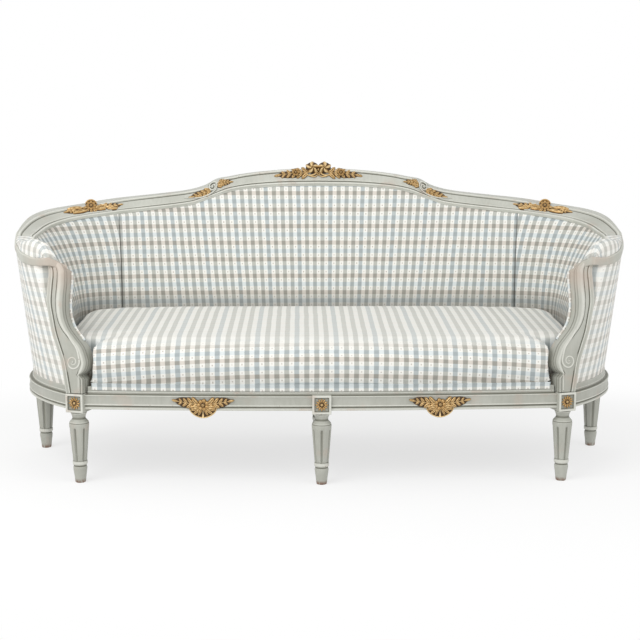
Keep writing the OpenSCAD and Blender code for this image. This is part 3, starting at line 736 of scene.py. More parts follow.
@dataclass(frozen=True)
class CheckCloth(Finish):
    """Plain woven linen check of grey stripes down and brown and blue stripes across."""

    slot: Slot = Slot.CHECK
    pitch: float = 0.0271
    rows: float = 0.0295
    cream: Triple = (246, 245, 239)
    grey: Triple = (194, 195, 188)
    sky: Triple = (188, 197, 199)
    taupe: Triple = (217, 210, 200)
    taupe_grey: Triple = (158, 155, 146)
    blue: Triple = (220, 228, 229)
    blue_grey: Triple = (167, 176, 178)
    dot: Triple = (150, 134, 118)
    slub_dark: Triple = (126, 124, 114)
    # Colour of the painted shade near the seat.
    tuck_dark: Triple = (98, 94, 84)
    thread: float = 0.0011
    wander: float = 0.0035
    soft: float = 0.055

    def shader(self, g: Graph) -> bpy.types.Node:
        """Shader of the check, on the cloth's own coordinates."""
        cloth = g.attribute("cloth", "Vector")
        across, along, light_wash = g.part(cloth)
        wander = (g.noise(cloth, 9.0, 2.0) - 0.5) * self.wander
        column = (across + wander) / self.pitch
        row = (along + wander) / self.rows
        edge = (0.5 - self.soft, 0.5 + self.soft)
        # Painted light: the stripes, the bands and the dots pale where the third cloth coordinate is high.
        stripe = column.wave().between(*edge) * (1.0 - light_wash * 0.4)
        band = row.wave().between(*edge) * (1.0 - light_wash) * 0.9
        brown = ((row + 0.5) / 2.0).wave().between(0.45, 0.55)
        bluish = ((column + 0.5) / 4.0).wave().between(0.7, 0.78)
        grey = g.mix(self.grey, self.sky, bluish * 0.8)
        plain = g.mix(self.cream, grey, stripe)
        taupe = g.mix(self.taupe, self.taupe_grey, stripe)
        blue = g.mix(self.blue, self.blue_grey, stripe)
        colour = g.mix(plain, g.mix(blue, taupe, brown), band)
        warp = (across / self.thread).wave()
        weft = (along / self.thread).wave()
        pair = self.thread * 2
        upper = (((across / pair).floor() + (along / pair).floor()) / 2.0).fract() * 2.0
        weave = warp * (1.0 - upper) + weft * upper
        slub = g.noise(g.stretched(cloth, (1.0, 12.0, 1.0)), 160.0, 2.0)
        slub_across = g.noise(g.stretched(cloth, (12.0, 1.0, 1.0)), 160.0, 2.0)
        cell = g.vector(column.rounded() * 3.7, row.rounded() * 5.3, 0.0)
        spot = row.wave().between(0.24, 0.08) * column.wave().between(0.22, 0.08) * (1.0 - light_wash)
        colour = g.mix(colour, self.dot, spot * (0.1 + g.noise(cell, 1.0, 0.0) * 0.6))
        # Slubs vary the yarn's tone; the dip between threads adds a little painted shade.
        shade = ((slub + slub_across) * 0.5).between(0.3, 0.75) * 0.09 + (1.0 - weave) * 0.03
        colour = g.mix(colour, self.slub_dark, shade)
        # Painted shade near the seat, where the relief is below 0.
        near_seat_shade = (0.0 - g.number(g.attribute("relief"))).between(0.0, 1.0)
        colour = g.mix(colour, self.tuck_dark, near_seat_shade * 0.42)
        height = weave * 0.6 + slub * 0.25 + slub_across * 0.25
        return g.principled(colour, 0.86, height, 0.0004, 0.7, Sheen_Weight=0.15, Specular_IOR_Level=0.2)


@dataclass(frozen=True)
class BareWood(Finish):
    """Unfinished beech of the hidden frame."""

    slot: Slot = Slot.BEECH
    light: Triple = (198, 162, 118)
    dark: Triple = (158, 116, 76)

    def shader(self, g: Graph) -> bpy.types.Node:
        """Shader of the beech."""
        where = g.place()
        grain = g.noise(g.stretched(where, (4.0, 4.0, 40.0)), 12.0, 5.0, 0.6)
        fleck = g.noise(where, 220.0, 2.0)
        colour = g.mix(self.light, self.dark, (grain * 0.8 + fleck * 0.2).between(0.35, 0.7))
        return g.principled(colour, 0.55 + grain * 0.25, grain, 0.0005, 0.6)


@dataclass(frozen=True)
class Sacking(Finish):
    """Plain weave of the cloths under the seat."""

    light: Triple
    dark: Triple
    thread: float
    cloud_scale: float
    contrast: float
    rough: float
    lumps: float
    depth: float
    strength: float

    def shader(self, g: Graph) -> bpy.types.Node:
        """Shader of the weave."""
        where = g.place()
        x, y, _ = g.part(where)
        weave = (x / self.thread).wave() * 0.5 + (y / self.thread).wave() * 0.5
        cloud = g.noise(where, self.cloud_scale, 3.0)
        colour = g.mix(self.dark, self.light, weave * self.contrast + cloud * 0.5)
        return g.principled(colour, self.rough, weave + cloud * self.lumps, self.depth, self.strength)


JUTE = Sacking(Slot.JUTE, light=(190, 160, 116), dark=(132, 102, 66), thread=0.003, cloud_scale=150.0,
               contrast=0.6, rough=0.9, lumps=0.5, depth=0.0006, strength=0.8)
CAMBRIC = Sacking(Slot.DARK, light=(62, 60, 56), dark=(34, 33, 31), thread=0.0012, cloud_scale=30.0,
                  contrast=0.4, rough=0.85, lumps=0.0, depth=0.0003, strength=0.6)


class Tree:
    """Geometry node tree with named sizes, in millimetres, baked to a plain shape."""

    sizes: dict[str, str] = {}

    def __init__(self, name: str) -> None:
        """Builds the tree.

        Args:
            name: Name of the tree.
        """
        self.tree = bpy.data.node_groups.new(name, "GeometryNodeTree")
        for label, kind in self.sizes.items():
            self.tree.interface.new_socket(name=label, in_out="INPUT", socket_type="NodeSocket" + kind)
        self.tree.interface.new_socket(name="Geometry", in_out="OUTPUT", socket_type="NodeSocketGeometry")
        self.graph = Graph(self.tree)
        self.inlet = self.graph.node("NodeGroupInput")
        whole = self.graph.node("GeometryNodeRealizeInstances", None, {"Geometry": self.build(self.graph)})
        dressed = self.graph.node("GeometryNodeSetMaterial", None, {
            "Geometry": whole.outputs[0], "Material": self.inlet.outputs["Material"]})
        self.graph.node("NodeGroupOutput", None, {0: dressed.outputs[0]})

    def size(self, label: str) -> Value:
        """Named size as a value."""
        return self.graph.number(self.inlet.outputs[label])

    def build(self, g: Graph) -> bpy.types.NodeSocket:
        """Geometry of the tree, which each tree gives."""
        raise NotImplementedError

    def baked(self, values: dict[str, object]) -> Shape:
        """Plain shape of the tree.

        Args:
            values: Value of each named size. A shape is handed in as an object.

        Returns:
            The shape, with its relief.
        """
        holder = linked("holder", bpy.data.meshes.new("holder"))
        spare = [holder]
        modifier = holder.modifiers.new("nodes", "NODES")
        modifier.node_group = self.tree
        for item in self.tree.interface.items_tree:
            if item.in_out != "INPUT":
                continue
            value = values[item.name]
            if isinstance(value, Shape):
                value = linked("part", value.mesh("part", 1.0))
                spare.append(value)
            modifier[item.identifier] = value
        holder.update_tag()
        depsgraph = bpy.context.evaluated_depsgraph_get()
        mesh = bpy.data.meshes.new_from_object(holder.evaluated_get(depsgraph),
                                               preserve_all_data_layers=True, depsgraph=depsgraph)
        holder.modifiers.clear()
        shape = Shape().add(coords(mesh), [tuple(p.vertices) for p in mesh.polygons], relief_of(mesh))
        bpy.data.meshes.remove(mesh)
        for thing in spare:
            data = thing.data
            bpy.data.objects.remove(thing)
            bpy.data.meshes.remove(data)
        return shape


class Repeat(Tree):
    """A part repeated along a step, turning and growing as it goes."""

    sizes = {"Part": "Object", "Count": "Int", "Step": "Vector", "Start Turn": "Float", "Turn": "Float",
             "End Scale": "Float", "Material": "Material"}

    def build(self, g: Graph) -> bpy.types.NodeSocket:
        """Points on a line, with the part on each."""
        count = self.size("Count")
        line = g.node("GeometryNodeMeshLine", {"mode": "OFFSET"},
                      {"Count": count, "Offset": self.inlet.outputs["Step"]})
        index = g.number(g.node("GeometryNodeInputIndex").outputs[0])
        part = g.node("GeometryNodeObjectInfo", None, {"Object": self.inlet.outputs["Part"]})
        turn = self.size("Start Turn") + index * self.size("Turn")
        scale = 1.0 + (self.size("End Scale") - 1.0) * index / (count - 1.0).larger(1.0)
        made = g.node("GeometryNodeInstanceOnPoints", None, {
            "Points": line.outputs[0], "Instance": part.outputs["Geometry"],
            "Rotation": g.vector(0.0, 0.0, turn), "Scale": g.vector(scale, scale, scale)})
        return made.outputs[0]

    def of(self, part: Shape, count: int, finish: Finish, step: Triple = (0.0, 0.0, 0.0), start_turn: float = 0.0,
           turn: float = 0.0, end_scale: float = 1.0) -> Shape:
        """The part repeated.

        Args:
            part: Shape to repeat.
            count: How often.
            finish: Its finish.
            step: Way from one to the next.
            start_turn: Turn of the first in degrees.
            turn: Turn of each from the one before, in degrees.
            end_scale: Scale of the last.

        Returns:
            One shape of all of them.
        """
        return self.baked({"Part": part, "Count": count, "Step": step, "Start Turn": math.radians(start_turn),
                           "Turn": math.radians(turn), "End Scale": end_scale, "Material": finish.material()})


class Turning(Tree):
    """A lathe-turned leg with flutes let into its shaft."""

    sizes = {"Outline": "Object", "Rows": "Int", "Columns": "Int", "Flutes": "Int", "Flute Width": "Float",
             "Flute Depth": "Float", "Flute Foot": "Float", "Flute Top": "Float", "Material": "Material"}

    def build(self, g: Graph) -> bpy.types.NodeSocket:
        """Grid rolled round the outline, whose points hold radius, relief and height."""
        rows = self.size("Rows")
        grid = g.node("GeometryNodeMeshGrid", None, {
            "Size X": 1.0, "Size Y": 1.0, "Vertices X": self.size("Columns") + 1.0, "Vertices Y": rows})
        x, y, _ = g.part(g.node("GeometryNodeInputPosition").outputs[0])
        angle = (x + 0.5) * math.tau + math.pi / 2
        row = ((y + 0.5) * (rows - 1.0)).rounded() + 0.01
        outline = g.node("GeometryNodeObjectInfo", None, {"Object": self.inlet.outputs["Outline"]})
        sample = g.node("GeometryNodeSampleIndex", {"data_type": "FLOAT_VECTOR", "domain": "POINT"}, {
            "Geometry": outline.outputs["Geometry"],
            "Value": g.node("GeometryNodeInputPosition").outputs[0], "Index": row})
        radius, relief, height = g.part(sample.outputs[0])
        flutes = self.size("Flutes")
        half = self.size("Flute Width") / 2.0
        turn = abs(((angle + math.pi / 2) * flutes / math.tau + 0.5).fract() - 0.5)
        across = turn * math.tau / flutes * radius / half
        past = (self.size("Flute Foot") - height).larger(height - self.size("Flute Top")).larger(0.0) / half
        hollow = (1.0 - across * across - past * past).larger(0.0).root()
        stored = g.node("GeometryNodeStoreNamedAttribute", {"data_type": "FLOAT", "domain": "POINT"}, {
            "Geometry": grid.outputs["Mesh"], "Name": "relief", "Value": relief - hollow * 0.85})
        reach = radius - hollow * self.size("Flute Depth")
        turned = g.node("GeometryNodeSetPosition", None, {
            "Geometry": stored.outputs[0], "Position": g.vector(reach * angle.cos(), reach * angle.sin(), height)})
        merged = g.node("GeometryNodeMergeByDistance", None, {"Geometry": turned.outputs[0], "Distance": 0.01})
        return merged.outputs[0]


@dataclass
class TopRail:
    """The moulded rail from arm to arm over the back, in five pieces."""

    plan: Plan = Plan(988, -20, 385, 417, 3, 4.3, 41)
    inner: Plan = Plan(912, -60, 316, 397, 3, 3.2, 41)
    arm_h: float = 700
    rise: float = 245
    arm_rail_h: float = 42
    crest_rail_h: float = 56
    lip: float = 6
    corner_u: float = 0.5
    shoulder_u: float = 0.765
    pad_from: float = -0.93
    pad_to: float = -0.08
    step: float = 0.006
    nose: float = 3
    pad_blend: float = 0.03
    pad_past: float = 0.02
    round_share: float = 0.08
    foot_share: float = 0.7
    bead_from: float = 0.86
    cap_rings: int = 9
    cap_power: float = 0.7
    tuck: Smooth = Smooth(
        (-1, 0), (-0.95, 0.5), (-0.9, 2), (-0.8, 6), (-0.7, 10), (-0.6, 14), (-0.5, 16), (-0.4, 15), (-0.3, 12),
        (-0.2, 8), (-0.1, 4), (0, 1), (0.1, 0), (0.2, 0), (0.3, 0), (1, 0))
    top_trim: Smooth = Smooth(
        (-1, -19), (-0.9, -19), (-0.8, -9), (-0.7, 0), (-0.6, 7), (-0.5, 10), (-0.4, 8), (-0.3, 5), (-0.2, 2),
        (-0.1, 0), (0, 0), (0.1, 0), (1, 0))
    low_trim: Smooth = Smooth(
        (-1, -17), (-0.9, -8), (-0.8, 0), (-0.7, 0), (-0.6, 0), (1, 0))
    under_trim: Smooth = Smooth(
        (-1, 0), (-0.9, 0), (-0.8, 7), (-0.7, 16), (-0.6, 27), (-0.5, 34), (-0.4, 33), (-0.3, 31), (-0.2, 25),
        (-0.1, 17), (0, 9), (0.1, 3), (0.2, 0), (0.3, 0), (1, 0))
    edge: Smooth = Smooth(
        (-1, 0.03), (-0.6, 0), (-0.11, 0.13), (0.22, 0.343), (0.38, 0.437), (0.49, 0.502), (0.57, 0.58),
        (0.65, 0.641), (0.715, 0.70), (0.75, 0.77), (0.774, 0.86), (0.80, 0.894), (0.825, 0.927),
        (0.873, 0.967), (0.93, 0.996), (1, 1))
    low_edge: Smooth = Smooth(
        (-1, -0.09), (-0.5, -0.02), (-0.176, 0.122), (0.09, 0.176), (0.267, 0.257), (0.387, 0.322),
        (0.473, 0.367), (0.54, 0.404), (0.60, 0.437), (0.70, 0.514), (0.734, 0.586), (0.796, 0.714),
        (0.88, 0.77), (1, 0.788))
    face_share: Smooth = Smooth(
        (-1, 0.12), (0, 0.14), (0.3, 0.4), (0.5, 0.62), (0.7, 0.8), (1, 0.86))
    moulding: Triples = (
        (0, 0, 0.4), (0.02, 1.3, 0.7), (0.05, 2.5, 0.9), (0.085, 2.9, 0.9), (0.12, 2.5, 0.7), (0.15, 1.2, 0.2),
        (0.168, -0.8, -0.7), (0.19, -1.6, -1), (0.212, -1.4, -1), (0.228, -0.3, -0.4), (0.25, 0, 0.1),
        (0.36, 0, 0), (0.48, 0, 0), (0.6, 0, 0), (0.685, 0, 0), (0.7, 0.3, 0.2), (0.715, 1.4, 0.7),
        (0.75, 2.3, 1), (0.78, 1.5, 0.5), (0.795, -0.4, -0.5), (0.81, -1.6, -1), (0.83, -1.6, -1),
        (0.842, -0.2, -0.5), (0.86, 1.6, 0.5), (0.9, 2.9, 0.9), (0.94, 3, 1), (0.975, 1.8, 0.6), (1, 0, 0))

    def top_z(self, u: Array | float) -> Array:
        """Height of the top edge."""
        return self.arm_h + self.rise * self.edge(u) + self.top_trim(u)

    def low_z(self, u: Array | float) -> Array:
        """Height of the inner edge."""
        return self.arm_h + self.rise * self.low_edge(u) + self.low_trim(u)

    def bed(self, u: Array | float) -> Array:
        """Height of the underside over the padding."""
        depth = lerp(self.arm_rail_h, self.crest_rail_h, (np.asarray(u) + 1) / 2)
        return self.arm_h + self.rise * self.edge(u) - depth

    def under(self, u: Array | float) -> Array:
        """Height of the underside at the outer face, which sweeps up behind the arm's end."""
        return self.bed(u) + self.under_trim(u)

    def outer(self, u: Array) -> Array:
        """Plan points of the outer face."""
        return self.plan.inset(u, self.tuck(u))

    def between(self, u: Array, share: float | Array) -> Array:
        """Plan points between the outer edge, 0, and the inner edge, 1."""
        return lerp(self.outer(u), self.inner.at(u), share)

    def face(self, u: Array) -> tuple[Array, Array, Array]:
        """Upper edge, lower edge and outward direction of the moulded face."""
        k = self.face_share(u)[..., None]
        top = raised(self.between(u, k), self.top_z(u))
        low = raised(self.inner.at(u), self.low_z(u))
        drop = low - top
        level = np.linalg.norm(drop[..., :2], axis=-1, keepdims=True)
        out = np.concatenate([drop[..., :2] / level * -drop[..., 2:], level], -1)
        return top, low, unit(out)

    def section(self, u: Array) -> tuple[Array, Array]:
        """Rings of the rail and the relief of their points."""
        z, b, low = self.top_z(u), self.under(u), self.low_z(u)
        e = self.arm_rail_h * self.round_share
        hard = [(0.16, b, 0), (0.05, b, 0.3), (0.014, b + e * 0.3, 0.5), (0, b + e, 0.3), (0, b + 3 * e, 0),
                (0, z - 3 * e, 0), (0.004, z - 1.7 * e, 0.2), (0.018, z - 0.8 * e, 0.6), (0.045, z - 0.2 * e, 0.7),
                (0.08, z, 0.3)]
        points = [raised(self.between(u, k), h) for k, h, _ in hard]
        relief = [np.full_like(u, r) for _, _, r in hard]
        top, bottom, out = self.face(u)
        points.append(lerp(points[-1], top, 0.6))
        relief.append(np.zeros_like(u))
        held = ease((u - self.pad_from + self.pad_blend) / self.pad_blend)
        held = held * ease((self.pad_to + self.pad_past - u) / self.pad_blend)
        for t, height, tone in self.moulding:
            keep = 1 - held * (0.0 < t < self.bead_from)
            points.append(lerp(top, bottom, t) + out * (height * keep)[:, None])
            relief.append(tone * keep)
        foot = np.minimum(self.bed(u), low - self.lip)
        points += [raised(self.inner.at(u), low - self.lip), raised(self.between(u, self.foot_share), foot)]
        relief += [np.zeros_like(u), np.zeros_like(u)]
        return np.stack(points, 1), np.stack(relief, 1)

    def places(self, start: float, end: float) -> Array:
        """Even places along the rail."""
        return np.linspace(start, end, int((end - start) / self.step) + 2)

    def piece(self, start: float, end: float) -> Shape:
        """Length of the rail between two places, with a rounded end at the arm."""
        rows, relief = self.section(self.places(start, end))
        if start == -1:
            centre = rows[0].mean(0)
            ahead = unit(raised(self.plan.at(np.array(-1.0)) - self.plan.at(np.array(-0.98)), 0))
            bend = np.radians(np.linspace(90, 0, self.cap_rings, endpoint=False))
            cap = [centre + (rows[0] - centre) * math.cos(a) ** self.cap_power + ahead * self.nose * math.sin(a)
                   for a in bend]
            rows = np.concatenate([np.stack(cap), rows])
            relief = np.concatenate([np.repeat(relief[:1] * 0.6, len(cap), 0), relief])
        return Shape().rings(rows, relief)

    def make(self, finish: Finish) -> None:
        """Makes the five pieces."""
        for half in Half:
            self.piece(-1, self.corner_u).side(half, "moulded_arm_rail", finish, "arm_rail_{}")
            self.piece(self.corner_u, self.shoulder_u).side(half, "moulded_crest_rail", finish, "crest_rail_{}")
        rows, relief = self.section(self.places(self.shoulder_u, 1))
        relief = np.concatenate([relief, relief[-2::-1]])
        Shape().rings(doubled(rows), relief).made("moulded_crest_rail_middle", finish, ["crest_rail_middle"])


class RailFace:
    """The top rail's moulded face unrolled: x outwards along it, y up it from its top edge, z out of it."""

    stations = 801
    side_share = 0.35
    look_up = 0.4

    def __init__(self, rail: TopRail) -> None:
        """Measures the face."""
        self.rail = rail
        self.u = np.linspace(-1, 1, self.stations)
        top, low, _ = rail.face(self.u)
        self.s = lengths((top + low) / 2)

    def place(self, shape: Shape, u0: float, y0: float) -> Shape:
        """Shape bent onto the face.

        Args:
            shape: Shape with its back on z = 0.
            u0: Place of its x = 0 along the rail.
            y0: Height of its y = 0 above the face's top edge.

        Returns:
            The shape on the right half, or over the middle.
        """
        def way(p: Array) -> Array:
            s = np.interp(u0, self.u, self.s) - p[:, 0]
            past = s > self.s[-1]
            u = np.interp(np.where(past, 2 * self.s[-1] - s, s), self.s, self.u)
            top, low, out = self.rail.face(u)
            q = top - unit(low - top) * (p[:, 1:2] + y0) + out * p[:, 2:]
            q[:, 0] = np.where(past, -q[:, 0], q[:, 0])
            return q
        return shape.mapped(way)

    def upright(self, shape: Shape, u0: float, y0: float, z0: float) -> Shape:
        """Shape stood on the face so that it looks to the front.

        Args:
            shape: Shape whose middle is at x = y = 0.
            u0: Place of its middle along the rail.
            y0: Height of its middle above the face's top edge.
            z0: Distance of its back out of the face.

        Returns:
            The shape on the right half.
        """
        place = np.array([u0])
        top, low, face_out = self.rail.face(place)
        inward = self.rail.inner.inward(place)[0]
        out = unit(np.array([inward[0] * self.side_share, inward[1], self.look_up]))
        side = unit(np.cross([0.0, 0.0, 1.0], out))
        middle = (top - unit(low - top) * y0 + face_out * z0)[0]
        return shape.mapped(lambda p: middle + p @ np.stack([side, np.cross(out, side), out]))


class Carver:
    """Carved forms in a flat frame: x to the right, y up and z out of the wood, in millimetres."""

    back = 1.5
    leaf_rows = 15
    leaf_columns = 11
    sides = 48

    def __init__(self, repeat: Repeat, finish: Finish) -> None:
        """Keeps the tree that repeats a form, and the finish."""
        self.repeat = repeat
        self.finish = finish

    def leaf(self, length: float, width: float, height: float, lobes: float = 3, bend: float = 0.0) -> Shape:
        """Leaf from its stem at the origin along x, with a midrib and veins.

        Args:
            length: Length along x.
            width: Width at its widest.
            height: Height of its ridge.
            lobes: Lobes along each edge.
            bend: How far the tip swings to +y, as a share of the length.

        Returns:
            The leaf as a closed shell.
        """
        s = np.linspace(0, 1, self.leaf_rows)[:, None]
        t = np.linspace(-1, 1, self.leaf_columns)[None, :]
        lobed = 0.88 + 0.2 * np.abs(np.sin(np.pi * lobes * s))
        half = width / 2 * (np.sin(np.pi * s**0.85) ** 0.7 * lobed + 0.03)
        x = length * (s + 0.07 * np.abs(t) * np.sin(np.pi * s))
        y = half * t + bend * length * s**2
        ridge = 0.3 + 0.7 * np.sin(np.pi * np.clip(s, 0.02, 0.98)) ** 0.6
        dome = np.clip(1 - t**2, 0, 1) ** 0.55 * height * ridge
        rib = np.exp(-((t / 0.16) ** 2))
        vein = np.cos(math.tau * (s * lobes * 1.5 - np.abs(t) * 1.1))
        z = dome - rib * 0.28 * height + vein * 0.12 * height * (1 - np.abs(t))
        # Relief: high on the ridge, low at the edges, the midrib and the underside, where the finishes paint highlight
        # and shade.
        relief = 0.75 - 1.5 * np.abs(t) ** 4 - 1.3 * rib + 0.4 * vein * (1 - np.abs(t))
        base = [vectors(x[:, i], y[:, i], -self.back) for i in (-1, 0)]
        rows = np.concatenate([vectors(x, y, z), np.stack(base, 1)], 1)
        return Shape().rings(rows, np.pad(relief + 0 * s, ((0, 0), (0, 2)), constant_values=-1))

    def strip(self, path: Sequence[Sequence[float]], widths: Sequence[float], height: float,
              tone: float = 0.8, count: int = 40) -> Shape:
        """Half-round strip along a path in the flat frame.

        Args:
            path: Points of its middle.
            widths: Widths along it.
            height: Height at its widest.
            tone: Relief of its ridge.
            count: Rings along it.

        Returns:
            The strip as a closed shell.
        """
        p = resampled(path, count)
        w = np.interp(np.linspace(0, 1, count), np.linspace(0, 1, len(widths)), widths)
        d = unit(np.gradient(p, axis=0))
        side = vectors(-d[:, 1], d[:, 0])
        a = np.radians(np.linspace(0, 180, 9))
        across = p[:, None, :] + side[:, None, :] * (np.cos(a)[None, :, None] * w[:, None, None] / 2)
        z = np.sin(a)[None, :] ** 0.8 * height * (w / w.max())[:, None]
        rows = np.concatenate([across, z[..., None]], -1)
        base = rows[:, [-1, 0]] - np.array([0, 0, self.back])
        relief = np.concatenate([tone * (1 - 1.9 * np.abs(np.cos(a)) ** 3), [-0.8, -0.8]])
        return Shape().rings(np.concatenate([rows, base], 1), relief)

    def dome(self, width: float, tall: float, height: float, ribs: int = 0, twist: float = 0.0,
             depth: float = 0.12) -> Shape:
        """Dome with ribs that twist towards its top.

        Args:
            width: Width along x.
            tall: Height along y.
            height: Height out of the wood.
            ribs: Ribs round it.
            twist: Turn of the ribs from rim to top, in turns.
            depth: Depth of the grooves between ribs, as a share.

        Returns:
            The dome as a closed shell.
        """
        a = np.linspace(0, math.tau, self.sides + 1)[None, :-1]
        b = np.radians(np.linspace(-12, 90, 14))[:, None]
        wave = np.cos(ribs * (a + twist * math.tau * b / (math.pi / 2))) if ribs else 0 * (a + b)
        r = np.cos(b) * (1 + depth * wave)
        lift = np.sin(b) * (1 + depth * 0.6 * wave)
        rows = vectors(r * np.cos(a) * width / 2, r * np.sin(a) * tall / 2, lift * height)
        # Relief: high on the ribs and top, low between ribs and at the rim, where the finishes paint highlight and
        # shade.
        ribbed = np.clip(0.5 + 0.9 * wave - 1.2 * np.cos(b) ** 10, -1, 1)
        relief = ribbed if ribs else 0.7 - 1.4 * np.cos(b) ** 8 + 0 * a
        return Shape().rings(rows, relief)

    def plate(self, width: float, tall: float, height: float) -> Shape:
        """Dark sheet under a carving, a painted shadow."""
        return self.dome(width, tall, height).toned(-1.0)

    def ring(self, radius: float, width: float, height: float, tone: float) -> Shape:
        """Raised or sunk ring round the origin."""
        a = np.linspace(0, math.tau, 33)
        return self.strip(vectors(np.cos(a), np.sin(a)) * radius, (width, width), height, tone)

    def flower(self, radius: float, petals: int, height: float) -> Shape:
        """Flower of round petals about a boss, on dark sheets of painted shadow."""
        petal = self.leaf(radius * 0.72, radius * 5.0 / petals + 1.5, height * 0.75, 0).moved(x=radius * 0.3)
        made = self.repeat.of(petal, petals, self.finish, turn=360 / petals)
        made.join(self.plate(radius * 1.7, radius * 1.7, height * 0.25), self.plate(radius, radius, height * 0.5))
        return made.join(self.dome(radius * 0.56, radius * 0.56, height * 1.15, 6, 0.1, 0.06))

    def spray(self, length: float, leaf: float, pairs: int, height: float, spread: float = 34,
              taper: float = 0.5, droop: float = 0.0) -> Shape:
        """Spray of paired leaves along a stem, ending in one leaf.

        Args:
            length: Length of the spray along x.
            leaf: Length of its first leaves.
            pairs: Pairs of leaves.
            height: Height of the leaves.
            spread: Angle of the leaves from the stem, in degrees.
            taper: Scale of the last pair.
            droop: Fall of the tip.

        Returns:
            The spray.
        """
        made = Shape()
        step = ((length - leaf * taper) / pairs, 0.0, 0.0)
        for way in (1, -1):
            blade = self.leaf(leaf, leaf * 0.5, height, 2, 0.12 * way)
            made.join(self.repeat.of(blade, pairs, self.finish, step, spread * way, end_scale=taper))
        made.join(self.leaf(leaf * taper * 1.4, leaf * 0.55 * taper, height * taper, 2).moved(
            x=length - leaf * taper * 1.3))
        made.join(self.strip([(0, 0), (length * 0.5, 0), (length - leaf * taper, 0)], (4, 3, 2), height * 0.6))
        # Dark leaf-shaped sheet under the spray, a painted shadow.
        made.join(self.leaf(length * 0.92, leaf * 1.15, 1.6, 0).toned(-1.0))
        return made.mapped(lambda p: p + vectors(0, -droop * (p[:, 0] / length) ** 2, 0))


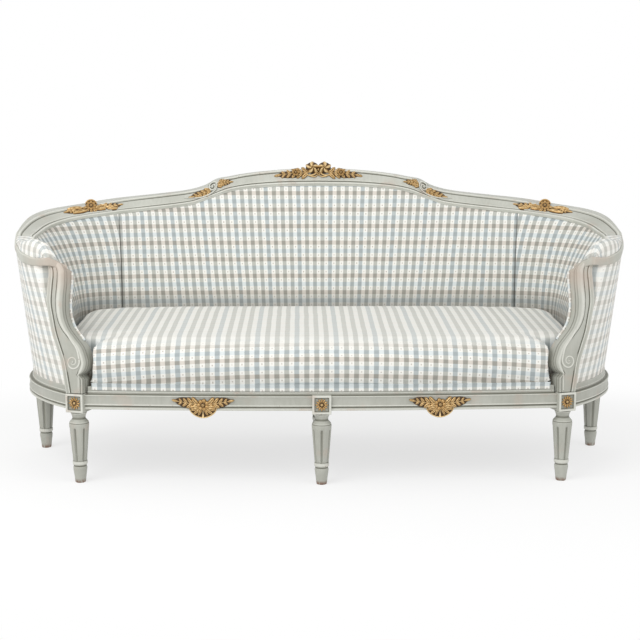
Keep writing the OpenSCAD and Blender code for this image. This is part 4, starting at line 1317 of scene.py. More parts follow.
@dataclass
class Carvings:
    """Gilded carvings on the top rail and the apron."""

    carver: Carver
    rail_face: RailFace
    rails: "SeatRails"
    finish: Finish
    shoulder_u: float = 0.751
    apron_x: float = 357.9
    apron_z: float = 250

    def crest(self) -> Shape:
        """Two roses over a ribbon, with a spray to each side."""
        c = self.carver
        rose = c.dome(42, 37, 19, 5, 0.12, 0.22).moved(x=21, y=4, turn=25)
        rose.join(c.dome(17, 13, 23, 4, 0.2, 0.2).moved(x=20, y=7, turn=35), c.plate(46, 41, 8).moved(x=21, y=4))
        rose.join(c.spray(119, 31, 5, 8, 34, 0.6, 6).moved(x=36, y=-14))
        rose.join(c.flower(14, 6, 11).moved(x=81, y=-12, z=6), c.plate(30, 30, 8).moved(x=81, y=-12))
        rose.join(c.strip([(2, -8), (16, -20), (34, -22), (46, -14)], (5, 8, 7, 3), 8))
        rose.join(c.strip([(30, -24), (12, -27), (0, -18)], (7, 5, 4), 7))
        made = Shape().join(rose, rose.mirrored())
        made.join(c.dome(9, 9, 26).moved(y=-3), c.dome(17, 13, 11, 8, 0, 0.1).moved(y=-17))
        return self.rail_face.place(made, 1.0, 0)

    def shoulder(self) -> Shape:
        """Gilt sprigs to both sides of the painted volute."""
        c = self.carver
        made = c.spray(80, 26, 4, 8, 32, 0.6, -2).moved(x=10, y=-1, turn=-6)
        made.join(c.dome(9, 8, 9).moved(x=34, y=-2), c.leaf(24, 14, 9, 2).moved(x=40, y=-6, turn=-12))
        inner = c.spray(60, 24, 4, 8, 30, 0.55, 2).moved(x=17, y=4, turn=-4)
        inner.join(c.dome(9, 8, 9).moved(x=44, y=2))
        return self.rail_face.place(made.join(inner.mirrored()), self.shoulder_u, -16)

    def volute(self) -> Shape:
        """Painted scroll at the shoulder, which runs out along the rail's lower bead."""
        c = self.carver
        path = [(96, -13), (72, -18), (45, -21), (20, -20), (2, -16), (-10, -9), (-14, 1), (-11, 10), (-2, 14),
                (8, 11), (11.5, 1), (7, -7.5), (-1, -9.5), (-7.5, -4), (-6.5, 3.5), (-1, 6), (3, 2), (1.5, -1.5)]
        made = c.strip(path, (2, 4, 5, 6, 6, 5, 5, 5, 4), 7.5, 1.0, 130).join(c.dome(6, 6, 6))
        return self.rail_face.place(made.join(c.plate(30, 30, 2.2)).moved(scale=1.1), self.shoulder_u, -8)

    def corner(self) -> Shape:
        """Rosette with leaves on one side and crossed foliage on the other."""
        c = self.carver
        bloom = c.flower(18.5, 8, 9).join(c.plate(38, 38, 4))
        a = np.radians(np.linspace(15, 165, 9))
        bloom.join(c.strip(vectors(np.cos(a), np.sin(a)) * 20.5, (3, 6, 7, 6, 3), 6, 0.6))
        for turn in (200, 235, 270, 305, 340):
            bloom.join(c.leaf(17, 12, 6, 2).moved(turn=turn).moved(
                x=14 * math.cos(math.radians(turn)), y=14 * math.sin(math.radians(turn))))
        bloom = self.rail_face.upright(bloom, 0.475, -17, 9)
        made = Shape()
        made.join(c.leaf(52, 20, 10, 2, 0.06).moved(x=13, y=9, turn=4))
        made.join(c.leaf(58, 17, 10, 1, -0.05).moved(x=10, y=-10, turn=-4))
        made.join(c.spray(44, 26, 2, 9, 34, 0.6).moved(x=46), c.dome(10, 10, 10).moved(x=60, y=-5))
        inner = c.leaf(44, 34, 9, 4).moved(x=12, y=-2)
        for path in (((44, -17), (53, 0), (70, 14)), ((44, 13), (57, 0), (66, -15))):
            inner.join(c.strip(path, (4, 5, 3), 9))
        inner.join(c.spray(66, 25, 3, 8, 34, 0.55).moved(x=52, y=2), c.leaf(36, 18, 8, 4).moved(x=56, y=-10, turn=-8))
        made.join(inner.mirrored(), c.plate(44, 34, 2))
        return self.rail_face.place(made, 0.467, -24).join(bloom)

    def apron(self) -> Shape:
        """Flower over a shell, with laurel sprays."""
        c = self.carver
        made = c.flower(19, 7, 11)
        rim = [(42, -8), (37, -20), (25, -31), (11, -37), (0, -38), (-11, -37), (-25, -31), (-37, -20), (-42, -8)]
        made.join(c.strip(rim, (3, 4, 4, 5, 4, 4, 3), 5, 1.0, 60))
        made.join(c.plate(74, 46, 2.4).moved(y=-15), c.plate(48, 50, 2.4).moved(y=-13))
        made.join(c.strip([(0, -12), (0, -26), (0, -38)], (3.5, 3.5, 10), 8, 1.0))
        half = c.leaf(33, 12, 8, 2, -0.05).moved(x=7, y=-8, turn=-12)
        half.join(c.leaf(31, 11, 7, 2, -0.05).moved(x=6, y=-10, turn=-36))
        half.join(c.leaf(25, 9, 7, 2).moved(x=4, y=-12, turn=-62))
        half.join(c.spray(80, 29, 4, 8, 34, 0.5, -4).moved(x=14, y=2, turn=6))
        half.join(c.leaf(30, 13, 9, 1, 0.1).moved(x=12, y=-5, turn=-8))

        def way(p: Array) -> Array:
            x = p[:, 0] + self.apron_x
            return vectors(x, self.rails.bow(x) - p[:, 2], p[:, 1] + self.apron_z)
        return made.join(half, half.mirrored()).mapped(way)

    def make(self, paint: Finish) -> None:
        """Makes all the carvings."""
        self.crest().made("gilt_crest", self.finish, ["crest_carving"])
        for half in Half:
            self.shoulder().side(half, "gilt_shoulder", self.finish, "shoulder_carving_{}")
            self.volute().side(half, "volute", paint)
            self.corner().side(half, "gilt_corner", self.finish, "corner_carving_{}")
            self.apron().side(half, "gilt_apron", self.finish, "apron_carving_{}")


@dataclass
class SeatRails:
    """The moulded rails under the seat."""

    plan: Plan = FRAME_PLAN
    face_y: float = 387
    block: float = 29
    cap_block: float = 33
    joint_u: float = 0.1
    inside_from: float = 40
    deepest: float = 4.6
    band: Triples = (
        (46, 232, 0), (3, 232, 0), (0.8, 232.8, 0.6), (0, 235, 0.8), (0.3, 238.5, 0.6), (2.2, 240.2, -0.6),
        (3.6, 242.2, -1), (2.4, 244.2, -0.6), (0.6, 245.2, 0.5), (0, 247, 1), (0.4, 249, 0.6), (1.6, 250, -0.1),
        (2, 251.5, 0), (2.2, 262, 0), (2, 272, 0), (1.4, 273.6, 0.3), (0.4, 274.6, 0.9), (1, 276.3, 0.6),
        (3.4, 277.2, -0.5), (7, 277.6, -1), (46, 277.6, 0))
    cap: Triples = (
        (9, 277.5, -1), (10.6, 278.4, -1), (11.9, 280, -0.6), (12, 282.5, 0.3), (11.4, 284, 0.8), (12.4, 286, 0.6),
        (13, 288, 0), (13, 297, 0), (13.8, 299.4, 0.8), (15.5, 300, 0.5), (26, 300, 0), (27, 299.2, 0.3),
        (27, 292, 0), (45.9, 292, 0), (45.9, 277.5, 0))

    def bow(self, x: Array) -> Array:
        """Y of the front rail's face."""
        return -self.face_y + SEAT_BOW * (np.asarray(x) / LEG_X) ** 2

    def front(self) -> Shape:
        """Right half of the front rail."""
        made = Shape()
        turn = math.radians(LEG_TURN)
        for profile, start, side in ((self.band, self.block, self.block), (self.cap, 0.0, self.cap_block)):
            p = np.array(profile)
            end = np.full(len(p), LEG_X - side)
            for _ in range(4):
                y = self.bow(end) + p[:, 0]
                end = LEG_X + (-side - (y - LEG_Y) * math.sin(turn)) / math.cos(turn)
            x = lerp(np.full(len(p), start), end, np.linspace(0, 1, 61)[:, None])
            rows = vectors(x, self.bow(x) + p[:, 0], p[:, 1])
            made.rings(rows, p[:, 2])
        return made

    def start_of(self, inset: float, side: float) -> float:
        """Place where a line of the side rail leaves the corner block."""
        u = np.linspace(-1, -0.5, 600)
        q = self.plan.inset(u, np.full_like(u, inset)) - np.array([LEG_X, LEG_Y])
        turn = math.radians(LEG_TURN)
        x = q[:, 0] * math.cos(turn) + q[:, 1] * math.sin(turn)
        y = -q[:, 0] * math.sin(turn) + q[:, 1] * math.cos(turn)
        inside = np.nonzero((np.abs(x) < side) & (np.abs(y) < side))[0]
        return float(u[inside[-1]]) if len(inside) else -1.0

    def curved(self, end: float, start: float | None = None) -> Shape:
        """Rail along the plan curve, from the corner block or from a place."""
        made = Shape()
        for profile, side in ((self.band, self.block), (self.cap, self.cap_block)):
            p = np.array(profile)
            shallow = (p[:, 0] < self.inside_from) & (side == self.block)
            inset = np.where(shallow, np.minimum(p[:, 0], self.deepest), p[:, 0])
            first = np.array([self.start_of(i, side) if start is None else start for i in inset])
            u = lerp(first, np.full(len(p), end), np.linspace(0, 1, 110)[:, None])
            rows = raised(self.plan.inset(u, np.broadcast_to(inset, u.shape)), p[:, 1])
            made.rings(rows, p[:, 2])
        return made

    def make(self, finish: Finish) -> None:
        """Makes the six rails."""
        for half in Half:
            self.front().side(half, "moulded_front_rail", finish, "front_rail_{}")
            self.curved(self.joint_u).side(half, "moulded_side_rail", finish, "side_rail_{}")
            self.curved(1.0, self.joint_u).side(half, "moulded_back_rail", finish, "back_rail_{}")


@dataclass
class Legs:
    """Six turned legs under square blocks, and three rosettes."""

    turning: Turning
    carver: Carver
    middle_at: Pair = (0, -364)
    rear_at: Pair = (938, 113)
    rear_middle_at: Pair = (0, 275)
    block_mid: float = 251
    field_y: float = -25
    corner: float = 2.0
    edge_parts: int = 8
    row_step: float = 2.6
    sharp: float = 38
    columns: int = 132
    flutes: int = 6
    flute_w: float = 9
    flute_depth: float = 4
    flute_from: float = 73
    flute_to: float = 169
    outline: Triples = (
        (0, 0, 0), (28, 0, 0), (30, 0.6, 0.5), (31.4, 1.6, 0.2), (33, 6, 0), (36, 20, 0), (41.5, 40, 0.2),
        (42.6, 46, 0.3), (41, 50, 0), (38.4, 52.5, -0.9), (38.4, 54.5, -1), (42, 56, 0.2), (44.6, 58, 0.7),
        (45.6, 62.5, 0.9), (44.6, 67, 0.7), (42.4, 69, -0.5), (41.2, 69.5, -1), (43, 70.5, 0.3), (43.4, 71, 0.3),
        (60, 178, 0.1), (60.2, 183, 0.3), (60, 185, 0.5), (57.6, 186.6, -1), (57.8, 187.4, -1), (59, 188.5, 0.4),
        (58, 190, 0.6), (51, 194, 0.1), (44, 198, -0.3), (39.6, 201, -0.9), (39.8, 205, -0.5), (42, 210, 0),
        (45.6, 214, 0.2), (48.2, 217, 0.7), (49.4, 218.6, 0.9), (47, 219.4, -0.3), (46.6, 220, -0.8),
        (46.6, 221.9, -0.5), (0, 221.9, 0))
    block_rings: Triples = (
        (0.5, 29, 0), (27.5, 29, 0), (29, 27.5, 0.5), (29, -27.6, 0.3), (28.4, -28.8, 0.9), (27.4, -29.4, 1),
        (22.8, -29.4, 0.8), (22.1, -28.8, 0.4), (21.4, -25.6, -0.8), (20.4, -25, -1), (19, -25, -0.5),
        (0.5, -25, -0.4))
    rear_rings: Pairs = (
        (0.5, 222), (23.4, 222), (25, 223.6), (25, 276.4), (23.4, 278), (0.5, 278))

    def shaft(self, finish: Finish) -> Shape:
        """Turned part of a leg."""
        rows = []
        for a, b in zip(self.outline[:-1], self.outline[1:]):
            parts = max(1, int((b[1] - a[1]) / self.row_step))
            rows += [tuple(lerp(a, b, i / parts)) for i in range(parts)]
        rows.append(self.outline[-1])
        points = np.array([(d / 2, tone, z) for d, z, tone in rows])
        return self.turning.baked({
            "Outline": Shape().add(points, []), "Rows": len(rows), "Columns": self.columns, "Flutes": self.flutes,
            "Flute Width": self.flute_w, "Flute Depth": self.flute_depth, "Flute Foot": self.flute_from,
            "Flute Top": self.flute_to, "Material": finish.material()})

    def square(self, half: float) -> Array:
        """Ring of a square with rounded corners."""
        corner = min(self.corner, half * 0.6)
        middles = (half - corner) * np.array([(1, 1), (-1, 1), (-1, -1), (1, -1)])
        shares = np.linspace(0, 1, self.edge_parts, endpoint=False)[1:, None]
        points = []
        for k, (here, there) in enumerate(zip(middles, np.roll(middles, -1, 0))):
            a = np.radians(np.linspace(0, 90, 5) + 90 * k)
            arc = corner * vectors(np.cos(a), np.sin(a))
            points += [here + arc, lerp(here + arc[-1], there + arc[-1], shares)]
        return np.concatenate(points)

    def front_block(self) -> Shape:
        """Block with a sunk field in its front."""
        rows = [vectors(r[:, 0], y, r[:, 1] + self.block_mid)
                for half, y, _ in self.block_rings for r in [self.square(half)]]
        tones = np.array([t for _, _, t in self.block_rings])[:, None]
        return Shape().rings(np.stack(rows), tones)

    def rear_block(self) -> Shape:
        """Plain bevelled block."""
        rows = [raised(self.square(half), z) for half, z in self.rear_rings]
        return Shape().rings(np.stack(rows), 0.1)

    def rosette(self, gilt: Finish) -> Shape:
        """Slender petals round a boss, on the block's field."""
        c = self.carver
        petal = c.leaf(13.4, 6.6, 3.6, 0).moved(x=6.6)
        made = c.repeat.of(petal, 12, gilt, turn=30)
        made.join(c.plate(18, 18, 1.2), c.dome(9.4, 9.4, 5.2, 5, 0.1, 0.05), c.ring(6.6, 2.0, 1.6, -1.0))
        return made.mapped(lambda p: vectors(p[:, 0], self.field_y - p[:, 2], p[:, 1] + self.block_mid))

    def make(self, paint: Finish, gilt: Finish) -> None:
        """Makes the legs and the rosettes."""
        shaft = self.shaft(paint)
        front = Shape().join(shaft, self.front_block())
        rear = Shape().join(shaft, self.rear_block())
        rosette = self.rosette(gilt)
        for half in Half:
            front.moved(LEG_X, LEG_Y, turn=LEG_TURN).side(half, "fluted_front_leg", paint, "front_{}_leg", self.sharp)
            rear.moved(*self.rear_at).side(half, "fluted_rear_leg", paint, "rear_{}_leg", self.sharp)
            rosette.moved(LEG_X, LEG_Y, turn=LEG_TURN).side(half, "gilt_rosette", gilt, "{}_rosette")
        front.moved(*self.middle_at).made("fluted_front_leg_middle", paint, ["front_middle_leg"], self.sharp)
        rear.moved(*self.rear_middle_at).made("fluted_rear_leg_middle", paint, ["rear_middle_leg"], self.sharp)
        rosette.moved(*self.middle_at).made("gilt_rosette_middle", gilt, ["middle_rosette"])


@dataclass
class ArmPosts:
    """Carved posts that sweep from the corner blocks up to the arms."""

    carver: Carver
    foot_z: float = 280
    lean: float = 5
    height: float = 376
    past_top: float = 1.02
    thick: float = 54
    moulding_h: float = 3.5
    eye: Pair = (3.8, 94.8)
    head_depth: float = 14
    flank_y: float = -4
    welt_r: float = 4.2
    welt_y: float = 20
    welt_in: float = 3.5
    welt_top: float = 0.97
    welt_foot: float = 158
    welt_rings: int = 90
    welt_sides: int = 12
    welt_across: float = 34
    head_z: float = 350
    head_h: float = 14
    knuckle_x: float = 97
    knuckle_z: float = 394
    flank_z: Pair = (20.4, 387)
    outer: Pairs = (
        (0, 0.075), (0.133, 0.098), (0.254, 0.12), (0.373, 0.16), (0.491, 0.199), (0.615, 0.224),
        (0.733, 0.242), (0.874, 0.23), (0.952, 0.221), (1.02, 0.23))
    inner: Pairs = (
        (0, -0.075), (0.105, -0.075), (0.128, -0.06), (0.146, -0.045), (0.165, -0.07), (0.186, -0.089),
        (0.215, -0.101), (0.252, -0.107), (0.31, -0.093), (0.373, -0.066), (0.443, -0.008), (0.522, 0.054),
        (0.615, 0.089), (0.733, 0.096), (0.9, 0.08), (1.02, 0.08))
    bead: Pairs = ((0, 5), (0.14, 5), (0.18, 17), (0.5, 20), (0.75, 24), (1, 22))
    outer_beads: Triples = (
        (0, -1.5, 0.3), (1, 2.4, 0.9), (3, 3.6, 0.7), (8, 3.6, 0.2), (11.6, 3.4, 0.1), (12.4, 4.2, 0.9),
        (13.8, 4.6, 1), (15.5, 3.8, 0.4), (15.9, 0.6, -0.9), (17.2, 0.2, -1), (18.6, 0.4, -0.9), (19.3, 2.2, 0.2),
        (20.5, 2.4, 0.1))
    inner_beads: tuple[tuple[float, float, float, float], ...] = (
        (1, 3.2, 2.4, 0.1), (1, 2.2, 2.2, 0.1), (1, 1.6, 0.4, -0.9), (1, 0.5, 0.2, -1), (1, 0, 1.4, -0.2),
        (0.92, 0, 2.8, 0.5), (0.78, 0, 3.9, 0.8), (0.6, 0, 4.4, 0.9), (0.4, 0, 4.3, 0.6), (0.2, 0, 3.2, 0.2),
        (0.06, 0, 1.2, -0.2), (0, 0, -0.6, -0.6))
    seat_side: Triples = (
        (-12, 0, 0), (-9, 0.2, -0.5), (-7, 2, -1), (-5, 0.2, -0.5), (0, 0, 0))

    @property
    def face(self) -> float:
        """Distance from the post's middle to the ground of its moulded front."""
        return self.thick / 2 - self.moulding_h

    def edges(self, z: Array) -> tuple[Array, Array]:
        """Outer and inner edge at heights above the block."""
        sides = []
        for table in (self.outer, self.inner):
            fine = resampled(table, 400) * self.height
            sides.append(np.interp(z, fine[:, 0], fine[:, 1]))
        return sides[0], sides[1]

    def slab(self) -> Shape:
        """Post with its moulded front."""
        z = np.linspace(0, self.past_top * self.height, 150)
        out, inn = self.edges(z)
        wide = out - inn
        bead = np.interp(z / self.height, *zip(*self.bead))
        half = self.thick / 2
        columns = [(out, half, 0.2), (out, 0, 0)]
        for d, h, tone in self.outer_beads:
            columns.append((out - np.minimum(d, wide * 0.5), -self.face - h, tone))
        for share, past, h, tone in self.inner_beads:
            columns.append((inn + np.minimum(bead * share + past, wide * 0.45), -self.face - h, tone))
        for y, sunk, tone in (*self.seat_side, (half, 0, 0.2)):
            columns.append((inn + sunk, y, tone))
        lines = [self.curled(vectors(x, y, z), out, inn) for x, y, _ in columns]
        return Shape().rings(np.stack(lines, 1), np.array([tone for _, _, tone in columns]))

    def curled(self, line: Array, out: Array, inn: Array) -> Array:
        """Upright line of the post, whose head turns outwards to a small knuckle.

        Args:
            line: Points of the line up the post.
            out: Outer edge at the same heights.
            inn: Inner edge at the same heights.

        Returns:
            Points of the line with its head.
        """
        x, y, z = line.T
        share = float(((out - x) / (out - inn))[-1])
        start = self.head_z + self.head_h * share
        up = np.linspace(0, start, 130)
        body = vectors(np.interp(up, z, x), np.interp(up, z, y), up)
        a = np.radians(np.linspace(0, 90, 16))[1:]
        if y[-1] < -self.head_depth:
            depth = y[-1] * (1 - 0.35 * np.sin(a))
        else:
            depth = lerp(y[-1], -self.head_depth, ease(a / 0.45))
        rise = self.knuckle_z + self.head_h * share - start
        head = vectors(self.knuckle_x - (self.knuckle_x - body[-1, 0]) * np.cos(a), depth, start + rise * np.sin(a))
        return np.concatenate([body, head])

    def flank(self, count: int, off: float) -> Array:
        """Points up the outer side of a post, where a cover ends."""
        z = np.linspace(*self.flank_z, count)
        line = vectors(self.edges(z)[0] + off, self.flank_y, z)
        return self.stood(Shape().add(line, [])).points[0]

    def scroll(self) -> Shape:
        """Narrow bead that runs down into the spiral near the foot."""
        path = [(42, 208), (36, 199.6), (22.2, 182.4), (8.4, 162.3), (-3.9, 146.5), (-11.5, 133.6), (-15.3, 119.2)]
        turns = ((180, 23), (225, 21.5), (270, 20), (315, 17.5), (360, 15.5), (405, 14.5), (450, 13.5), (495, 12),
                 (540, 10.5), (585, 9), (630, 8), (675, 7), (720, 6))
        for angle, radius in turns:
            a = math.radians(angle)
            path.append((self.eye[0] + radius * math.cos(a), self.eye[1] + radius * math.sin(a)))
        made = self.carver.strip(path, (5, 9, 9.5, 9, 8, 7, 6, 4), 5.6, 1.0, 150)
        made.join(self.carver.dome(8, 8, 5).moved(*self.eye))
        made.join(self.carver.strip([(-14.6, 57), (-15.2, 40), (-15, 22), (-14.6, 6)], (4, 6, 6, 5), 4.4, 0.9))
        made.join(self.carver.dome(72, 72, 2.4).moved(5, self.eye[1]).toned(0.0))
        return made.mapped(lambda p: vectors(p[:, 0], -self.face - p[:, 2], p[:, 1]))

    def stood(self, shape: Shape) -> Shape:
        """Shape in the post's own frame, leant, turned and put on its block."""
        c, s = math.cos(math.radians(self.lean)), math.sin(math.radians(-self.lean))
        t, n = math.cos(math.radians(LEG_TURN)), math.sin(math.radians(LEG_TURN))

        def way(p: Array) -> Array:
            a, b = p[:, 0] * t - p[:, 1] * n, p[:, 0] * n + p[:, 1] * t
            return vectors(a + LEG_X, b * c - p[:, 2] * s + LEG_Y, b * s + p[:, 2] * c + self.foot_z)
        return shape.mapped(way)

    def welt(self) -> Shape:
        """Cloth welt down the seat side of a post."""
        z = np.linspace(self.welt_top * self.height, self.welt_foot, self.welt_rings)
        _, inn = self.edges(z)
        path = vectors(inn - self.welt_in, self.welt_y, z)
        d = unit(np.gradient(path, axis=0))
        side = unit(np.cross(d, np.array([0.0, 1.0, 0.0])))
        up = np.cross(side, d)
        a = np.linspace(0, math.tau, self.welt_sides + 1)[:-1]
        round_it = side[:, None] * np.cos(a)[None, :, None] + up[:, None] * np.sin(a)[None, :, None]
        cloth = laid(self.welt_r * a + self.welt_across, lengths(path)[:, None])
        return self.stood(Shape().rings(path[:, None] + self.welt_r * round_it, cloth=cloth))

    def make(self, finish: Finish, cloth: Finish) -> None:
        """Makes both posts and their welts."""
        for half in Half:
            post = self.stood(Shape().join(self.slab(), self.scroll()))
            post.side(half, "carved_arm_post", finish, "arm_post_{}")
            self.welt().side(half, "arm_welt", cloth)


@dataclass(frozen=True)
class Stuffing:
    """Simulated filling of a padded piece."""

    pressure: float = 4.0
    frames: int = 20
    cap: float = 6.0
    margin: float = 0.8
    cloth: tuple[tuple[str, float], ...] = (
        ("quality", 4), ("mass", 0.4), ("tension_stiffness", 18), ("compression_stiffness", 12),
        ("shear_stiffness", 8), ("bending_stiffness", 1.5), ("use_pressure", True))

    def fill(self, piece: bpy.types.Object, node: str, held: Array, slack: Array | float = 0) -> None:
        """Swells a piece under pressure and keeps it in the CAD solid's space.

        Args:
            piece: The piece, whose mesh is changed.
            node: CAD node whose space it keeps to.
            held: Whether each vertex is tacked down.
            slack: How far in millimetres a vertex may stand out of that space.
        """
        mesh = piece.data
        after = self.swollen(piece, held)
        after = self.kept(after, node, np.broadcast_to(slack, len(after)))
        mesh.vertices.foreach_set("co", after.astype(np.float32).ravel())
        mesh.update()

    def swollen(self, piece: bpy.types.Object, held: Array) -> Array:
        """Points of a piece after the pressure, none moved by more than the cap."""
        before = coords(piece.data)
        group = piece.vertex_groups.new(name="tacked")
        group.add([int(i) for i in np.nonzero(held)[0]], 1.0, "REPLACE")
        modifier = piece.modifiers.new("filling", "CLOTH")
        for name, value in self.cloth:
            setattr(modifier.settings, name, value)
        modifier.settings.uniform_pressure_force = self.pressure
        modifier.settings.effector_weights.gravity = 0.0
        modifier.settings.vertex_group_mass = group.name
        modifier.point_cache.frame_end = self.frames
        scene = bpy.context.scene
        for number in range(1, self.frames + 1):
            scene.frame_set(number)
        puffed = piece.evaluated_get(bpy.context.evaluated_depsgraph_get()).to_mesh()
        move = coords(puffed) - before
        length = np.linalg.norm(move, axis=1, keepdims=True)
        piece.modifiers.remove(modifier)
        piece.vertex_groups.clear()
        scene.frame_set(1)
        return before + move * np.minimum(1, self.cap * MM / np.maximum(length, TINY))

    def kept(self, points: Array, node: str, slack: Array) -> Array:
        """Points moved back onto a CAD solid where they stand out of it."""
        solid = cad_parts[node].data
        tree = BVHTree.FromPolygons([v.co for v in solid.vertices], [tuple(p.vertices) for p in solid.polygons])
        kept = points.copy()
        for i, p in enumerate(points):
            spot, normal, _, distance = tree.find_nearest(Vector(p))
            room = (self.margin + float(slack[i])) * MM
            if distance > room and (Vector(p) - spot).dot(normal) > 0:
                kept[i] = spot + normal * room
        return kept


@dataclass
class Covers:
    """Padding and covers of the back and arms."""

    rail: TopRail
    posts: ArmPosts
    seat_plan: Plan = SEAT_PLAN
    frame_plan: Plan = FRAME_PLAN
    pad_foot: float = 316
    pad_t: float = 24
    crown: float = 9
    gap: float = 0.4
    front_rows: int = 57
    low_reach: float = 1.09
    seam_w: float = 0.004
    seam_gap: float = 0.0006
    stretch: float = 1.03
    seam_u: float = 0.53
    pad_end_u: float = -0.8
    cover_end_u: float = -0.925
    cover_t: float = 2.2
    crease: float = 1.8
    row_shift: float = 25
    shade_h: float = 50
    lean: float = 45
    lean_h: float = 330
    lean_power: float = 1.8
    fullness: float = 0.7
    cover_reach: float = 1.027
    cover_foot: float = 15
    cover_head: float = 3
    post_gap: float = 1.2
    # Painted light: how far the check pales on the outside covers.
    cover_fade: float = 0.45
    step: float = 9.5
    stuffing: Stuffing = Stuffing(cap=6)

    def low_u(self, u: Array) -> Array:
        """Place on the seat's curve below a place on the rail."""
        return np.where(u < 0, np.maximum(u * self.low_reach, -1), u)

    def pad_ring(self, u: Array) -> tuple[Array, Array]:
        """Rings of the inner padding and their heights along the cloth."""
        low, high = self.seat_plan.at(self.low_u(u)), self.rail.inner.at(u)
        inward = self.rail.inner.inward(u)
        top = self.rail.low_z(u) - self.rail.lip - self.gap
        back = self.seat_plan.inset(self.low_u(u), np.full_like(u, -self.pad_t))
        lid = np.minimum(self.rail.bed(u), self.rail.low_z(u) - self.rail.lip) - self.gap
        dip = self.crease * np.exp(-((u - self.seam_u) / self.seam_w) ** 2)
        hind = raised(self.rail.between(u, self.rail.foot_share), lid)
        rows = [raised(low, z) for z in np.linspace(self.pad_foot, SEAT_BACK, 14, endpoint=False)]
        for s in np.linspace(0, 1, 46):
            bow = self.crown * math.sin(math.pi * s) - dip * min(1.0, 8 * (1 - s))
            rows.append(raised(lerp(low, high, s) + bow[:, None] * inward, lerp(SEAT_BACK, top, s)))
        rows += [lerp(rows[-1], hind, s) for s in (0.35, 0.7)]
        rows += [lerp(hind, raised(back, SEAT_BACK), s) for s in np.linspace(0, 1, 16, endpoint=False)]
        rows += [raised(back, z) for z in np.linspace(SEAT_BACK, self.pad_foot, 6)]
        rows += [lerp(rows[-1], rows[0], s) for s in (0.33, 0.66)]
        rows = np.stack(rows, 1)
        return rows, (rows[..., 2] - SEAT_BACK) * self.stretch + self.row_shift

    def stations(self, start: float, end: float) -> tuple[Array, Array]:
        """Even places along the padding, and their distance from the middle of the back."""
        u = np.linspace(-1, 1, 2001)
        s = lengths(lerp(self.seat_plan.at(self.low_u(u)), self.rail.inner.at(u), 0.5))
        low, high = np.interp([start, end], u, s)
        even = np.linspace(low, high, int((high - low) / self.step) + 2)
        return np.interp(even, s, u), s[-1] - even

    def padding(self, name: str, node: str, rows: Array, along: Array, across: Array, lean: float,
                finish: Finish) -> None:
        """Makes the filled padding of rings.

        Its relief marks the tacked points while it is filled, and afterwards the shade near the seat.

        Args:
            name: Name of the piece.
            node: CAD node that it stands for.
            rows: Its rings.
            along: Millimetres down the cloth at each point.
            across: Millimetres across the cloth at each ring.
            lean: How far the stripes lean towards the middle at the top, in millimetres.
            finish: Its finish.
        """
        up = np.clip((rows[..., 2] - SEAT_BACK) / self.lean_h, 0, 1)
        wide = across[:, None] - np.sign(across[:, None]) * lean * up ** self.lean_power
        tacked = np.zeros(along.shape)
        tacked[[0, -1]] = tacked[:, :2] = tacked[:, self.front_rows:] = 1
        piece = Shape().rings(rows, tacked, laid(wide, along)).made(name, finish, [node], SMOOTH)
        self.stuffing.fill(piece, node, relief_of(piece.data) > 0.5)
        # Painted shade near the seat, stored as relief from -1 at the seat to 0 higher up.
        above = np.clip(coords(piece.data)[:, 2] / MM - SEAT_BACK, 0, None)
        stored(piece.data, "relief", -np.exp(-((above / self.shade_h) ** 2)))
        relax(piece)

    def cover(self, u: Array, across: Array) -> tuple[Array, Array]:
        """Rings of the outside cover and their cloth coordinates."""
        rows = []
        shares = np.linspace(0, 1, 26)
        for depth, order in ((0.0, shares), (self.cover_t, shares[::-1])):
            low = np.where(u < 0, u * self.cover_reach, u)
            foot = raised(self.frame_plan.inset(low, np.full_like(u, self.cover_foot + depth)), SOFT_FOOT)
            inset = self.rail.tuck(u) + self.cover_head + depth
            head = raised(self.rail.plan.inset(u, inset), self.rail.under(u) - self.gap)
            rows += [lerp(foot, head, k) for k in order]
        rows = np.stack(rows, 1)
        return rows, laid(across[:, None], rows[..., 2] - SEAT_BACK, self.cover_fade)

    def joined(self, rows: Array, cloth: Array) -> tuple[Array, Array]:
        """Outside arm's cover carried on to the post, where it's tacked."""
        half = rows.shape[1] // 2
        edge = np.concatenate([self.posts.flank(half, self.post_gap + self.cover_t),
                               self.posts.flank(half, self.post_gap)[::-1]])
        shares = np.linspace(0, 1, 6)[:-1]
        added = np.stack([lerp(edge, rows[0], k) for k in shares])
        step = float(np.linalg.norm(edge[5] - rows[0, 5]))
        way = np.sign(cloth[-1, 0, 0] - cloth[0, 0, 0])
        across = cloth[0, :, 0] - way * step * (1 - shares[:, None])
        more = laid(across, cloth[0, :, 1], cloth[0, :, 2])
        return np.concatenate([added, rows]), np.concatenate([more, cloth])

    def outside(self, name: str, nodes: Sequence[str], rows: Array, cloth: Array, finish: Finish) -> None:
        """Outside cover, a closed shell of rings."""
        piece = Shape().rings(rows, cloth=cloth).made(name, finish, nodes, CREASED)
        half = rows.shape[1] // 2
        a = rows[:-1, :half - 1]
        cells = np.cross(rows[1:, :half - 1] - a, rows[:-1, 1:half] - a)
        tall = float((rows[..., 2].max() - rows[..., 2].min())) * MM

